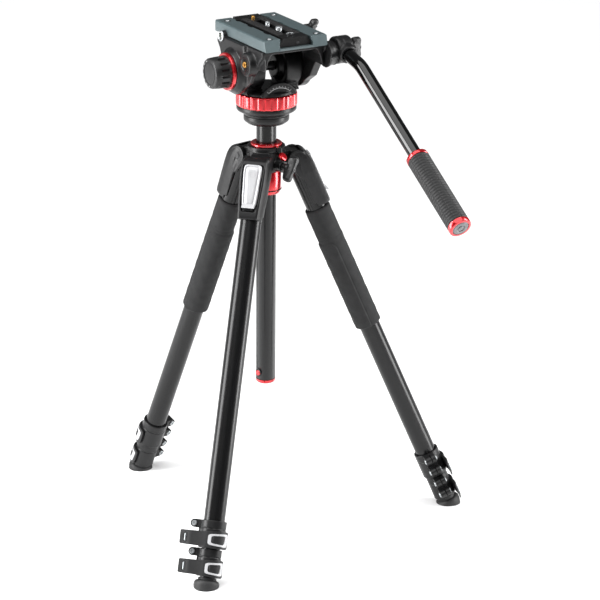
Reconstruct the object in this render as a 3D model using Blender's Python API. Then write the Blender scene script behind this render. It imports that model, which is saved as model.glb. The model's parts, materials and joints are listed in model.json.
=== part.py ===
"""Aluminium tripod with a fluid head, as an assembly of separate pieces.

Metres, +Z up, standing on Z = 0. +Y is the way the camera looks and +X the operator's right, where the
pan bar is. Everything is built round the column axis, under an empty that sets the origin below the
middle of the whole object. Every moving piece hangs from an empty on its joint's axis.
"""

from math import asin, atan2, cos, pi, radians, sin, sqrt

import bmesh
import bpy
from mathutils import Matrix, Vector

# ---- driving dimensions -------------------------------------------------------------------------

COLUMN_AXIS = (-0.0239, 0.0584)   # of the column, from the origin
GAP = 0.0003                      # kept between neighbouring pieces

HINGE_RADIUS = 0.040              # leg pins, from the column axis
HINGE_Z = 0.5325
LEG_SPREAD = radians(23.5)        # of a leg from the vertical
LEG_AZIMUTHS = {"front": radians(-46.1), "right": radians(73.9), "left": radians(193.9)}
FOAM_LEGS = ("right", "left")     # the legs with a foam grip

PIN_RADIUS = 0.004
PIN_HALF = 0.0196                 # half a hinge pin's length
TONGUE_HALF = 0.0118              # half a spider tongue's width
TONGUE_RADIUS = 0.0110            # of its round end
EAR_INNER = 0.0123                # inner face of a bracket's ears
EAR_RADIUS = 0.0130

# Along a leg, distances from its pin.
BRACKET_TOP = 0.009
BRACKET_END = 0.077
UPPER_TUBE = (0.018, 0.503)       # start and end
MIDDLE_TUBE = (0.100, 0.5415)
LOWER_TUBE = (0.130, 0.5730)
FOAM = (0.081, 0.273)
FOAM_BAND = 0.127                 # where the sleeve's thinner top band ends
UPPER_COLLAR = (0.490, 0.528)
LOWER_COLLAR = (0.5290, 0.5665)
FOOT_TOP = 0.5676

UPPER_R = 0.0146                  # tube outer radii
MIDDLE_R = 0.0125
LOWER_R = 0.0105
WALL = 0.0014
FOAM_R = 0.0195

COLUMN_R = 0.0138                 # mean radius of the three-lobed section
COLUMN_WALL = 0.0016
COLUMN_BOTTOM = 0.2115
PLATE_Z = (0.5840, 0.5960)        # the column's top plate
PLATE_R = 0.0315
HUB_R = 0.0240
HUB_Z = (0.5170, 0.5465)
DISC_R = 0.0262
DISC_Z = 0.5525
COLLAR_R = 0.0217
COLLAR_Z = (0.5529, 0.5567)
SLEEVE_R = 0.0208
SLEEVE_Z = (0.4835, 0.5166)
LOCK_AZIMUTH = radians(13.9)      # of the column lock, midway between two legs
LOCK_Z = 0.5270

TILT_Z = 0.6635                   # height of the tilt axis
RING_R = 0.0425
RING_Z = (0.6104, 0.6283)
RING_FLUTES = 18
HEAD_BASE_R = 0.0415
HOUSING_R = 0.0405
HOUSING_Z = (0.6287, 0.6360)
DRUM_R = 0.0290                   # the housing's two round ears
DRUM_X = (0.0165, 0.0418)
SIDE_X = (0.0438, 0.0600)         # the tilt frame's left side, out to the drag knob
RIGHT_X = (0.0438, 0.0560)
SIDE_R = 0.0330                   # of a side round the tilt axis
FRAME_Y = (-0.0780, 0.0460)       # of the tilt frame under the cradle
BRIDGE_Z = (0.7005, 0.7057)
CRADLE_Z = (0.7060, 0.7215)
CRADLE_Y = (-0.0846, 0.0604)
CRADLE_HALF = 0.0475
CHANNEL_HALF = 0.0255             # between the cradle's rails
PLATE_TOP = 0.7222                # of the sliding camera plate
PLATE_Y = (-0.0790, 0.0610)
AXLE_R = 0.0060

BAR_PIVOT = (-0.0750, 0.6935)     # Y and Z of the pan bar's rosette axis
BAR_X = 0.0745
BAR_R = 0.0092
CLAMP_X = (0.0624, 0.0862)
CLAMP_R = 0.0190
GRIP_R = 0.0158


# ---- materials ------------------------------------------------------------------------------------

MATERIALS = {
    # name: (colour, roughness, metallic)
    "black_tube": ((0.030, 0.030, 0.032), 0.30, 0.6),
    "black_casting": ((0.022, 0.022, 0.024), 0.45, 0.2),
    "black_plastic": ((0.040, 0.040, 0.042), 0.50, 0.0),
    "silver_lever": ((0.780, 0.780, 0.780), 0.28, 0.7),
    "steel": ((0.600, 0.600, 0.590), 0.25, 1.0),
    "red_anodised": ((0.620, 0.010, 0.020), 0.25, 0.6),
    "teal_anodised": ((0.130, 0.180, 0.180), 0.38, 0.6),
    "foam": ((0.030, 0.030, 0.031), 0.85, 0.0),
    "rubber": ((0.025, 0.025, 0.026), 0.70, 0.0),
}


def make_materials():
    made = {}
    for name, (colour, roughness, metallic) in MATERIALS.items():
        material = bpy.data.materials.new(name)
        material.use_nodes = True
        shader = material.node_tree.nodes["Principled BSDF"]
        shader.inputs["Base Color"].default_value = (*colour, 1.0)
        shader.inputs["Roughness"].default_value = roughness
        shader.inputs["Metallic"].default_value = metallic
        made[name] = material
    return made


# ---- shape helpers ----------------------------------------------------------------------------------


def circle(radius, count, z=0.0, centre=(0.0, 0.0)):
    """Points of a circle in a plane of constant z, anticlockwise."""
    turn = 2 * pi / count
    return [(centre[0] + radius * cos(i * turn), centre[1] + radius * sin(i * turn), z) for i in range(count)]


def arc(centre, radius, start, end, steps):
    """2-D points of an arc, from one angle to another, in degrees."""
    angles = [radians(start + (end - start) * i / steps) for i in range(steps + 1)]
    return [(centre[0] + radius * cos(a), centre[1] + radius * sin(a)) for a in angles]


def at_height(outline, z):
    return [(x, y, z) for x, y in outline]


def rings_mesh(rings, hollow=False):
    """A closed mesh through a row of rings with the same number of points.

    A solid row gets a cap at each end. A hollow one goes round, from the last ring to the first.
    """
    bm = bmesh.new()
    loops = [[bm.verts.new(point) for point in ring] for ring in rings]
    pairs = list(zip(loops, loops[1:]))
    if hollow:
        pairs.append((loops[-1], loops[0]))
    count = len(rings[0])
    for low, high in pairs:
        for i in range(count):
            j = (i + 1) % count
            bm.faces.new((low[i], low[j], high[j], high[i]))
    if not hollow:
        bm.faces.new(list(reversed(loops[0])))
        bm.faces.new(loops[-1])
    bmesh.ops.recalc_face_normals(bm, faces=bm.faces)
    mesh = bpy.data.meshes.new("shape")
    bm.to_mesh(mesh)
    bm.free()
    return mesh


def turned(profile, count=16, hollow=False):
    """A solid of revolution round Z, from (radius, z) points."""
    return rings_mesh([circle(radius, count, z) for radius, z in profile], hollow)


def tube(outer, inner, low, high, count=16):
    return turned([(outer, low), (outer, high), (inner, high), (inner, low)], count, hollow=True)


def prism(outline, low, high):
    return rings_mesh([at_height(outline, low), at_height(outline, high)])


def chamfered_prism(outline_at, low, high, edge):
    """A prism whose ends are cut back by edge: outline_at(inset) gives its outline."""
    return rings_mesh([
        at_height(outline_at(edge), low),
        at_height(outline_at(0.0), low + edge),
        at_height(outline_at(0.0), high - edge),
        at_height(outline_at(edge), high),
    ])


def box_mesh(low, high):
    (x0, y0, z0), (x1, y1, z1) = low, high
    return prism([(x0, y0), (x1, y0), (x1, y1), (x0, y1)], z0, z1)


def add(name, mesh, material, parent, matrix=None):
    """One named piece, in its parent's frame."""
    mesh.name = name
    piece = bpy.data.objects.new(name, mesh)
    bpy.context.collection.objects.link(piece)
    piece.parent = parent
    if matrix is not None:
        piece.matrix_local = matrix
    mesh.materials.append(MADE[material])
    mesh.shade_smooth()
    mesh.set_sharp_from_angle(angle=radians(32))
    return piece


def helper(name, mesh, parent, matrix=None):
    """A shape that only serves a Boolean."""
    piece = bpy.data.objects.new("helper_" + name, mesh)
    bpy.context.collection.objects.link(piece)
    piece.parent = parent
    if matrix is not None:
        piece.matrix_local = matrix
    piece.hide_render = True
    piece.display_type = "WIRE"
    return piece


def combine(piece, operation, *others):
    """Joins or cuts a piece with helpers, in order."""
    for other in others:
        modifier = piece.modifiers.new(other.name, "BOOLEAN")
        modifier.operation = operation
        modifier.solver = "EXACT"
        modifier.object = other


def empty(name, parent, matrix):
    joint = bpy.data.objects.new(name, None)
    bpy.context.collection.objects.link(joint)
    joint.parent = parent
    joint.matrix_local = matrix
    joint.empty_display_size = 0.02
    return joint


def along_x(x=0.0, y=0.0, z=0.0):
    """Puts a shape built round Z on an axis along +X."""
    return Matrix.Translation((x, y, z)) @ Matrix.Rotation(pi / 2, 4, "Y")


def radial(azimuth, radius, z):
    """Puts a shape built round Z on an axis that points outwards at an azimuth."""
    place = Matrix.Translation((radius * sin(azimuth), -radius * cos(azimuth), z))
    return place @ Matrix.Rotation(azimuth - pi / 2, 4, "Z") @ Matrix.Rotation(pi / 2, 4, "Y")


def column_outline(radius, count=24):
    """The column's section: round, with three soft lobes."""
    lobe = 0.035
    points = []
    for i in range(count):
        angle = 2 * pi * i / count
        r = radius * (1 + lobe * cos(3 * angle))
        points.append((r * cos(angle), r * sin(angle)))
    return points


def stadium(half_length, half_width, taper=0.0, steps=5):
    """A long shape along X with round ends; taper narrows the middle."""
    right = arc((half_length - half_width, 0.0), half_width, -80, 80, steps)
    left = arc((half_width - half_length, 0.0), half_width, 100, 260, steps)
    waist = half_width * (1 - taper)
    return right + [(0.0, waist)] + left + [(0.0, -waist)]


# ---- legs ---------------------------------------------------------------------------------------------
# A leg's frame has its origin on the hinge pin: x along the pin to the clamp screws' side, y outwards and
# z up along the leg.


def leg_matrix(azimuth):
    pin = (HINGE_RADIUS * sin(azimuth), -HINGE_RADIUS * cos(azimuth), HINGE_Z)
    turn = Matrix.Rotation(azimuth + pi, 4, "Z")
    return Matrix.Translation(pin) @ turn @ Matrix.Rotation(LEG_SPREAD, 4, "X")


def leg_bracket(side, leg):
    """A cast saddle over the outer half of the tube, with two ears round the hinge pin."""
    top_half, bottom_half = 0.0200, 0.0163
    inner, shoulder, face, floor = 0.0010, 0.0135, 0.0200, 0.0165

    def section(half, z, drop=0.0):
        right = [(half, inner), (half, shoulder - drop), (half - 0.0030, face - drop),
                 (half - 0.0050, face - drop), (half - 0.0052, floor - drop)]
        return at_height(right + [(-x, y) for x, y in reversed(right)], z)

    rings = [section(bottom_half, -BRACKET_END), section(top_half, -0.022), section(top_half, -0.006),
             section(top_half - 0.0010, 0.003, 0.0035), section(top_half - 0.0020, BRACKET_TOP, 0.0080)]
    bracket = add(f"leg_bracket_{side}", rings_mesh(rings), "black_casting", leg)
    ears = []
    for sign, end in ((1, "a"), (-1, "b")):
        outline = arc((0.0, 0.0), EAR_RADIUS, 80, 290, 7)
        outline += [(0.026, -0.0080), (0.030, 0.0080), (0.0100, 0.0135)]
        ear = prism(outline, min(sign * EAR_INNER, sign * 0.0180), max(sign * EAR_INNER, sign * 0.0180))
        ears.append(helper(f"ear_{end}_{side}", ear, leg, Matrix.Rotation(pi / 2, 4, "Y")))
    combine(bracket, "UNION", *ears)
    bore = helper(f"bracket_bore_{side}", turned([(UPPER_R + GAP, -0.09), (UPPER_R + GAP, -0.0165)]), leg)
    slot = helper(f"bracket_slot_{side}", turned([(0.0133, -EAR_INNER), (0.0133, EAR_INNER)], 20), leg,
                  Matrix.Rotation(pi / 2, 4, "Y"))
    hole = helper(f"bracket_hole_{side}", turned([(PIN_RADIUS + GAP, -0.03), (PIN_RADIUS + GAP, 0.03)], 12),
                  leg, Matrix.Rotation(pi / 2, 4, "Y"))
    combine(bracket, "DIFFERENCE", bore, slot, hole)


def angle_lever(side, leg):
    """The bright lever that frees the leg's angle stop. It hinges at its top and lifts at its lip."""
    pivot_y, pivot_z = 0.0185, -0.0035
    joint = empty(f"axis_angle_lever_{side}", leg, Matrix.Translation((0.0, pivot_y, pivot_z)))
    inner, outer, lip = 0.0172, 0.0206, 0.0240
    # half width, inner y, outer y and z down the lever
    stations = (
        (0.0110, inner - 0.0004, 0.0192, -0.0014),
        (0.0134, inner, outer, -0.0044),
        (0.0132, inner, outer, -0.0200),
        (0.0108, inner, outer, -0.0520),
        (0.0100, inner + 0.0012, lip, -0.0590),
        (0.0078, inner + 0.0030, lip, -0.0622),
    )
    rings = []
    for half, low, high, z in stations:
        edge = 0.0009
        right = [(half, low), (half, high - edge), (half - edge, high)]
        ring = right + [(-x, y) for x, y in reversed(right)]
        rings.append([(x, y - pivot_y, z - pivot_z) for x, y in ring])
    add(f"angle_lever_{side}", rings_mesh(rings), "silver_lever", joint)


def clamp_collar(name, parent, span, outer, upper_bore, step, lower_bore, lobe_x, lobes):
    """A band round two tubes, with a rounded lug for its screw and one for the lever's draw bolt."""
    top, bottom = -span[0], -span[1]
    profile = [(outer, bottom), (outer, top), (upper_bore, top), (upper_bore, step), (lower_bore, step),
               (lower_bore, bottom)]
    collar = add(name, turned(profile, hollow=True), "black_casting", parent)
    lug_r = 0.0050
    root = upper_bore + GAP
    outline = [(root, lobes[0] + lug_r)] + arc((lobe_x, lobes[0]), lug_r, 90, -90, 5)
    outline += [(lobe_x - 0.007, lobes[0] - lug_r), (lobe_x - 0.007, lobes[1] + lug_r)]
    outline += arc((lobe_x, lobes[1]), lug_r, 90, -90, 5) + [(root, lobes[1] - lug_r)]
    lug = helper(f"lug_{name}", prism(outline, -0.0062, 0.0088), parent, Matrix.Rotation(pi / 2, 4, "X"))
    combine(collar, "UNION", lug)


def clamp_lever(name, parent, radius, pivot, tab, centre_z):
    """A flip lever that wraps the tube's outer side and turns on the pin of its draw bolt."""
    thick, half = 0.0034, 0.0105
    joint = empty(f"axis_{name}", parent, Matrix.Translation((pivot[0], pivot[1], centre_z)))

    def outline(inset):
        inner = arc((0.0, 0.0), radius + inset * 0.3, 186 - inset * 2000, 64, 9)
        outer = arc((0.0, 0.0), radius + thick - inset, 64, 186 - inset * 2000, 9)
        under = pivot[1] - 0.0012
        points = inner + [(pivot[0], under), (tab[0] - inset, tab[1] - 0.0012), (tab[0] - inset, tab[1])]
        points += [(pivot[0], pivot[1] + 0.0022 - inset)] + outer
        return [(x - pivot[0], y - pivot[1]) for x, y in points]

    add(name, chamfered_prism(outline, -half, half, 0.0007), "black_plastic", joint)


def foot(side, parent):
    """A rubber boot on the lower tube, with a flat where it meets the floor."""
    bore = LOWER_R + GAP
    profile = [(0.0120, -0.5940), (0.0172, -0.5770), (0.0172, -0.5735), (0.0138, -FOOT_TOP)]
    boot = add(f"foot_{side}", turned(profile), "rubber", parent)
    hole_mesh = turned([(bore, -LOWER_TUBE[1] - GAP), (bore, -FOOT_TOP + 0.01)])
    hole = helper(f"foot_bore_{side}", hole_mesh, parent)
    floor = helper(f"floor_{side}", box_mesh((-0.4, -0.4, -0.05), (0.4, 0.4, 0.0)), ROOT)
    combine(boot, "DIFFERENCE", hole, floor)


def build_leg(side, azimuth):
    leg = empty(f"axis_leg_{side}", ROOT, leg_matrix(azimuth))
    hub = empty(f"frame_pin_{side}", ROOT, leg_matrix(azimuth))
    pin = turned([(PIN_RADIUS, -PIN_HALF), (PIN_RADIUS, PIN_HALF)], 12)
    add(f"hinge_pin_{side}", pin, "steel", hub, Matrix.Rotation(pi / 2, 4, "Y"))
    leg_bracket(side, leg)
    angle_lever(side, leg)
    upper_mesh = tube(UPPER_R, UPPER_R - WALL, -UPPER_TUBE[1], -UPPER_TUBE[0])
    add(f"upper_tube_{side}", upper_mesh, "black_tube", leg)
    if side in FOAM_LEGS:
        start, end = -FOAM[0], -FOAM[1]
        bore = UPPER_R + GAP
        band_r = FOAM_R - 0.0012
        profile = [(FOAM_R, end), (FOAM_R, -FOAM_BAND), (band_r, -FOAM_BAND + 0.0010), (band_r, start),
                   (bore, start), (bore, end)]
        add(f"foam_sleeve_{side}", turned(profile, hollow=True), "foam", leg)
    clamp_collar(f"upper_collar_{side}", leg, UPPER_COLLAR, 0.0178, UPPER_R + GAP, -0.5035, MIDDLE_R + GAP,
                 0.0258, (-0.4957, -0.5145))
    clamp_lever(f"upper_lever_{side}", leg, 0.0184, (0.0262, 0.0186), (0.0410, 0.0172), -0.5160)

    middle = empty(f"axis_middle_{side}", leg, Matrix.Identity(4))
    middle_mesh = tube(MIDDLE_R, MIDDLE_R - WALL, -MIDDLE_TUBE[1], -MIDDLE_TUBE[0])
    add(f"middle_tube_{side}", middle_mesh, "black_tube", middle)
    clamp_collar(f"lower_collar_{side}", middle, LOWER_COLLAR, 0.0158, MIDDLE_R + GAP, -0.5420, LOWER_R + GAP,
                 0.0240, (-0.5342, -0.5530))
    clamp_lever(f"lower_lever_{side}", middle, 0.0164, (0.0244, 0.0168), (0.0390, 0.0154), -0.5553)

    lower = empty(f"axis_lower_{side}", middle, Matrix.Identity(4))
    lower_mesh = tube(LOWER_R, LOWER_R - WALL, -LOWER_TUBE[1], -LOWER_TUBE[0])
    add(f"lower_tube_{side}", lower_mesh, "black_tube", lower)
    foot(side, lower)


# ---- hub and column -------------------------------------------------------------------------------


def spider():
    """The hub casting: a collar round the column, three tongues for the legs and the lock's boss."""
    bore = column_outline(COLUMN_R + 0.0005)
    count = len(bore)
    rings = [at_height(bore, HUB_Z[0])]
    for radius, z in ((HUB_R, HUB_Z[0]), (HUB_R, HUB_Z[1]), (DISC_R, HUB_Z[1]), (DISC_R, DISC_Z)):
        rings.append(circle(radius, count, z))
    rings.append(at_height(bore, DISC_Z))
    hub = add("spider", rings_mesh(rings, hollow=True), "black_casting", ROOT)
    tongues, holes = [], []
    for side, azimuth in LEG_AZIMUTHS.items():
        # Outline in the radial plane: x is down, y is outwards, measured from the pin.
        outline = arc((0.0, 0.0), TONGUE_RADIUS, -12, 192, 9)
        outline += [(-0.0125, -0.0100), (-0.0130, -0.0205), (0.0140, -0.0205), (0.0120, -0.0100)]
        turn = Matrix.Rotation(azimuth + pi, 4, "Z") @ Matrix.Rotation(pi / 2, 4, "Y")
        pin = (HINGE_RADIUS * sin(azimuth), -HINGE_RADIUS * cos(azimuth), HINGE_Z)
        place = Matrix.Translation(pin) @ turn
        tongues.append(helper(f"tongue_{side}", prism(outline, -TONGUE_HALF, TONGUE_HALF), ROOT, place))
        hole = turned([(PIN_RADIUS + GAP, -0.02), (PIN_RADIUS + GAP, 0.02)], 12)
        holes.append(helper(f"pin_hole_{side}", hole, ROOT, place))
    boss = helper("lock_boss", turned([(0.0082, 0.0), (0.0082, 0.0150)], 16), ROOT,
                  radial(LOCK_AZIMUTH, 0.0205, LOCK_Z))
    combine(hub, "UNION", *tongues, boss)
    combine(hub, "DIFFERENCE", *holes)


def column_lock():
    joint = empty("axis_column_lock", ROOT, radial(LOCK_AZIMUTH, 0.0358, LOCK_Z))
    wing = [
        at_height(stadium(0.0125, 0.0050), 0.0070),
        at_height(stadium(0.0188, 0.0058, 0.12), 0.0100),
        at_height(stadium(0.0188, 0.0050, 0.20), 0.0180),
        at_height(stadium(0.0170, 0.0038, 0.25), 0.0200),
    ]
    turn = Matrix.Rotation(radians(-29), 4, "Z")
    knob = add("column_lock_knob", rings_mesh(wing), "black_plastic", joint, turn)
    stem = helper("lock_stem", turned([(0.0055, 0.0), (0.0055, 0.0080)], 12), joint)
    combine(knob, "UNION", stem)


def column():
    joint = empty("axis_column", ROOT, Matrix.Identity(4))
    low, high = COLUMN_BOTTOM, PLATE_Z[0] - GAP
    outer, inner = column_outline(COLUMN_R), column_outline(COLUMN_R - COLUMN_WALL)
    rings = [at_height(outer, low), at_height(outer, high), at_height(inner, high), at_height(inner, low)]
    shaft = add("centre_column", rings_mesh(rings, hollow=True), "black_tube", joint)
    azimuth, height = radians(-76.0), low + 0.0100
    place = radial(azimuth, 0.0, height)
    hole = helper("button_hole", turned([(0.0045, 0.004), (0.0045, 0.020)], 16), joint, place)
    combine(shaft, "DIFFERENCE", hole)
    button = empty("axis_column_button", joint, place)
    button_mesh = turned([(0.0041, 0.0085), (0.0041, 0.0148), (0.0032, 0.0155)])
    add("column_button", button_mesh, "red_anodised", button)

    plug = column_outline(COLUMN_R - COLUMN_WALL - GAP)
    cap = column_outline(COLUMN_R + 0.0002)
    cap_rings = [at_height(column_outline(COLUMN_R - 0.0015), low - 0.0055), at_height(cap, low - 0.0040),
                 at_height(cap, low - GAP), at_height(plug, low - GAP), at_height(plug, low + 0.0040)]
    add("column_end_cap", rings_mesh(cap_rings), "red_anodised", joint)
    profile = [(0.0255, PLATE_Z[0]), (PLATE_R, PLATE_Z[0] + 0.0045), (PLATE_R, PLATE_Z[1])]
    add("column_plate", turned(profile, 28), "black_casting", joint)
    return joint


def column_rings():
    """The red collar on top of the hub and the red sleeve below it."""
    bore = column_outline(COLUMN_R + 0.0006)
    count = len(bore)
    low, high = COLLAR_Z
    rings = [at_height(bore, low), circle(COLLAR_R, count, low), circle(COLLAR_R, count, high - 0.001),
             circle(COLLAR_R - 0.002, count, high), at_height(bore, high)]
    add("column_collar", rings_mesh(rings, hollow=True), "red_anodised", ROOT)
    low, high = SLEEVE_Z
    rings = [
        at_height(bore, low),
        circle(SLEEVE_R - 0.0030, count, low),
        circle(SLEEVE_R, count, low + 0.0055),
        circle(SLEEVE_R, count, high),
        at_height(bore, high),
    ]
    add("lower_sleeve", rings_mesh(rings, hollow=True), "red_anodised", ROOT)


# ---- head -----------------------------------------------------------------------------------------


def head_base(column_joint):
    neck = 0.0370
    low, high = PLATE_Z[1], RING_Z[0] - GAP
    profile = [
        (PLATE_R, low + GAP),
        (PLATE_R, low + 0.0020),
        (HEAD_BASE_R, low + 0.0075),
        (HEAD_BASE_R, high),
        (neck, high),
        (neck, RING_Z[1] + 0.0001),
    ]
    add("head_base", turned(profile, 28), "black_casting", column_joint)
    joint = empty("axis_pan_ring", column_joint, Matrix.Identity(4))
    steps = RING_FLUTES * 4
    outer = []
    for i in range(steps):
        radius = RING_R if i % 4 < 2 else RING_R - 0.0011
        angle = 2 * pi * i / steps
        outer.append((radius * cos(angle), radius * sin(angle)))
    low, high = RING_Z
    bore = neck + 2 * GAP
    rings = [circle(bore, steps, low), at_height(outer, low)]
    rings += [at_height(outer, high), circle(bore, steps, high)]
    add("pan_ring", rings_mesh(rings, hollow=True), "red_anodised", joint)


def pan_housing(pan):
    """The part that turns on the base: a disc with two round ears that hold the tilt axle."""
    low, high = HOUSING_Z
    profile = [(HOUSING_R, low), (HOUSING_R, low + 0.0030), (0.0360, high)]
    housing = add("pan_housing", turned(profile, 28), "black_casting", pan)
    width = 0.0240
    ears = []
    for sign, side in ((1, "right"), (-1, "left")):
        foot_y = 0.0265
        # Outline seen along X: x is down from the tilt axis, y is forwards.
        drop = TILT_Z - low - 0.0015
        outline = arc((0.0, 0.0), DRUM_R, 65, 295, 12) + [(drop, -foot_y), (drop, foot_y)]
        ends = sorted((sign * DRUM_X[0], sign * (DRUM_X[0] + width)))
        mesh = prism(outline, ends[0], ends[1])
        ears.append(helper(f"housing_ear_{side}", mesh, pan, along_x(0.0, 0.0, TILT_Z)))
    lip_outline = [(-0.030, 0.0)] + arc((0.0, -0.016), 0.0330, 150, 30, 8) + [(0.030, 0.0)]
    lip = helper("housing_lip", prism([(x, y - 0.001) for x, y in lip_outline], 0.0330, 0.0362), pan,
                 Matrix.Translation((0.0, 0.0, high - 0.004)) @ Matrix.Rotation(pi / 2, 4, "X"))
    combine(housing, "UNION", *ears, lip)
    axle_hole = helper("axle_hole_housing", turned([(AXLE_R + GAP, -0.05), (AXLE_R + GAP, 0.05)]), pan,
                       along_x(0.0, 0.0, TILT_Z))
    combine(housing, "DIFFERENCE", axle_hole)
    add("tilt_axle", turned([(AXLE_R, -0.0572), (AXLE_R, 0.0545)]), "steel", pan, along_x(0.0, 0.0, TILT_Z))
    lock = empty("axis_pan_lock", pan, radial(radians(218), HOUSING_R + GAP, high - 0.0010))
    profile = [(0.0036, 0.0), (0.0036, 0.0012), (0.0055, 0.0018), (0.0055, 0.0064), (0.0045, 0.0072)]
    add("pan_lock_knob", turned(profile, 12), "black_plastic", lock)


def side_outline():
    """A side of the tilt frame in the plane of tilt: x is down from the tilt axis, y is forwards.

    It runs from under the cradle to a round end about the axis, so it looks like a V.
    """
    top = TILT_Z - BRIDGE_Z[1]
    near, far = FRAME_Y
    shoulder = top + 0.0080

    def tangent(y):
        """Angle of the point where a line from the shoulder's corner meets the round end."""
        distance = sqrt(shoulder ** 2 + y ** 2)
        return atan2(y, shoulder), asin(SIDE_R / distance)

    far_angle, far_half = tangent(far)
    near_angle, near_half = tangent(near)
    start = far_angle - pi / 2 + far_half
    end = near_angle + pi / 2 - near_half
    points = [(top, near), (top, far), (shoulder, far)]
    steps = 10
    for i in range(steps + 1):
        angle = start + (end - start) * i / steps
        points.append((SIDE_R * cos(angle), SIDE_R * sin(angle)))
    points.append((shoulder, near))
    return points


def tilt_frame(tilt):
    """The moving fork under the cradle: a bridge, a left and a right side, and the pan bar's rosette."""
    high = BRIDGE_Z[1] - TILT_Z
    low = BRIDGE_Z[0] - TILT_Z
    bridge = box_mesh((-0.0460, FRAME_Y[0], low), (0.0460, FRAME_Y[1], high))
    frame = add("tilt_frame", bridge, "black_casting", tilt)
    outline = side_outline()
    turn = Matrix.Rotation(pi / 2, 4, "Y")
    parts = [
        helper("side_left", prism(outline, -0.0530, -SIDE_X[0]), tilt, turn),
        helper("side_right", prism(outline, RIGHT_X[0], RIGHT_X[1]), tilt, turn),
        helper("knob_drum", turned([(0.0268, -SIDE_X[1]), (0.0310, -0.0520)], 24), tilt, turn),
        helper("port_drum", turned([(0.0150, -0.0585), (0.0165, -0.0570), (0.0165, -0.0500)], 18), tilt,
               along_x(0.0, -0.0445, 0.0190)),
        helper("rosette", turned([(0.0165, 0.0500), (0.0165, 0.0621)], 20), tilt,
               along_x(0.0, BAR_PIVOT[0], BAR_PIVOT[1] - TILT_Z - 0.0015)),
    ]
    combine(frame, "UNION", *parts)
    hole = helper("axle_hole_frame", turned([(AXLE_R + GAP, -0.0575), (AXLE_R + GAP, 0.0548)]), tilt, turn)
    combine(frame, "DIFFERENCE", hole)


def drag_knob(tilt):
    joint = empty("axis_tilt_knob", tilt, Matrix.Rotation(-pi / 2, 4, "Y"))
    start = SIDE_X[1] + GAP
    steps = 40

    def lobed(radius, depth, z):
        ring = []
        for i in range(steps):
            r = radius if i % 4 < 2 else radius - depth
            ring.append((r * cos(2 * pi * i / steps), r * sin(2 * pi * i / steps), z))
        return ring

    rings = [
        lobed(0.0258, 0.0, start),
        lobed(0.0258, 0.0, start + 0.0040),
        lobed(0.0222, 0.0014, start + 0.0050),
        lobed(0.0218, 0.0014, start + 0.0205),
        lobed(0.0206, 0.0, start + 0.0270),
        lobed(0.0165, 0.0, start + 0.0285),
    ]
    add("tilt_drag_knob", rings_mesh(rings), "black_plastic", joint)


def tilt_lock(tilt):
    joint = empty("axis_tilt_lock", tilt, along_x(RIGHT_X[1] + GAP, 0.0, 0.0))
    boss_mesh = turned([(0.0110, 0.0), (0.0110, 0.0060), (0.0090, 0.0080)])
    boss = add("tilt_lock_lever", boss_mesh, "black_plastic", joint)
    # In this frame x is down and y is forwards.
    arm = [(0.0, 0.0070), (-0.0040, 0.0065), (0.0090, 0.0330)] + arc((0.0120, 0.0330), 0.0040, 180, 0, 5)
    arm += [(0.0080, 0.0060)]
    combine(boss, "UNION", helper("tilt_lock_arm", prism(arm, 0.0015, 0.0062), joint))


def cradle(tilt):
    """The anodised top: two thick rails on a thin web, with the sliding plate's channel between them."""
    low, high = CRADLE_Z[0] - TILT_Z, CRADLE_Z[1] - TILT_Z
    web = low + 0.0030
    half, channel, edge = CRADLE_HALF, CHANNEL_HALF, 0.0016
    undercut = 0.0028
    right = [(half, low), (half, high - edge), (half - edge, high), (channel - undercut, high),
             (channel - undercut, high - 0.0030), (channel, high - 0.0075), (channel, web)]
    outline = right + [(-x, z) for x, z in reversed(right)]
    turn = Matrix.Rotation(pi / 2, 4, "X")
    add("cradle", prism(outline, -CRADLE_Y[1], -CRADLE_Y[0]), "teal_anodised", tilt, turn)
    return web


def sliding_plate(tilt, web):
    """The camera plate: a dovetail with a slot for its two camera screws."""
    joint = empty("axis_sliding_plate", tilt, Matrix.Identity(4))
    top = PLATE_TOP - TILT_Z
    low = web + GAP
    wide, narrow = CHANNEL_HALF - 0.0010, 0.0195
    right = [(wide, low), (wide, top - 0.0085), (narrow, top - 0.0020), (narrow, top)]
    outline = right + [(-x, z) for x, z in reversed(right)]
    turn = Matrix.Rotation(pi / 2, 4, "X")
    plate = add("sliding_plate", prism(outline, -PLATE_Y[1], -PLATE_Y[0]), "black_casting", joint, turn)
    slot_low, slot_high = -0.0560, 0.0260
    slot = box_mesh((-0.0052, slot_low, low - 0.001), (0.0052, slot_high, top + 0.001))
    pocket = box_mesh((-0.0100, slot_low - 0.004, low - 0.001), (0.0100, slot_high + 0.004, low + 0.0062))
    combine(plate, "DIFFERENCE", helper("plate_slot", slot, joint), helper("plate_pocket", pocket, joint))
    screws = (
        ("camera_screw_large", -0.0340, 0.0047, 0.0090),
        ("camera_screw_small", -0.0020, 0.0031, 0.0082),
    )
    for name, y, radius, head in screws:
        axis = empty(f"axis_{name}", joint, Matrix.Translation((0.0, y, 0.0)))
        profile = [(head, low + 0.0006), (head, low + 0.0040), (radius, low + 0.0046), (radius, top + 0.0040),
                   (radius - 0.0008, top + 0.0048)]
        add(name, turned(profile), "steel", axis)


def plate_lock(tilt):
    z = CRADLE_Z[1] - TILT_Z - 0.0047
    joint = empty("axis_plate_lock", tilt, along_x(CRADLE_HALF + GAP, -0.0190, z))
    wing = [
        at_height(stadium(0.0085, 0.0045), 0.0088),
        at_height(stadium(0.0128, 0.0055, 0.1), 0.0108),
        at_height(stadium(0.0128, 0.0046, 0.2), 0.0170),
        at_height(stadium(0.0112, 0.0034, 0.2), 0.0190),
    ]
    turn = Matrix.Rotation(radians(35), 4, "Z")
    knob = add("plate_lock_knob", rings_mesh(wing), "black_plastic", joint, turn)
    stem = helper("plate_lock_stem", turned([(0.0042, 0.0), (0.0042, 0.0095)], 12), joint)
    combine(knob, "UNION", stem)


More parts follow.
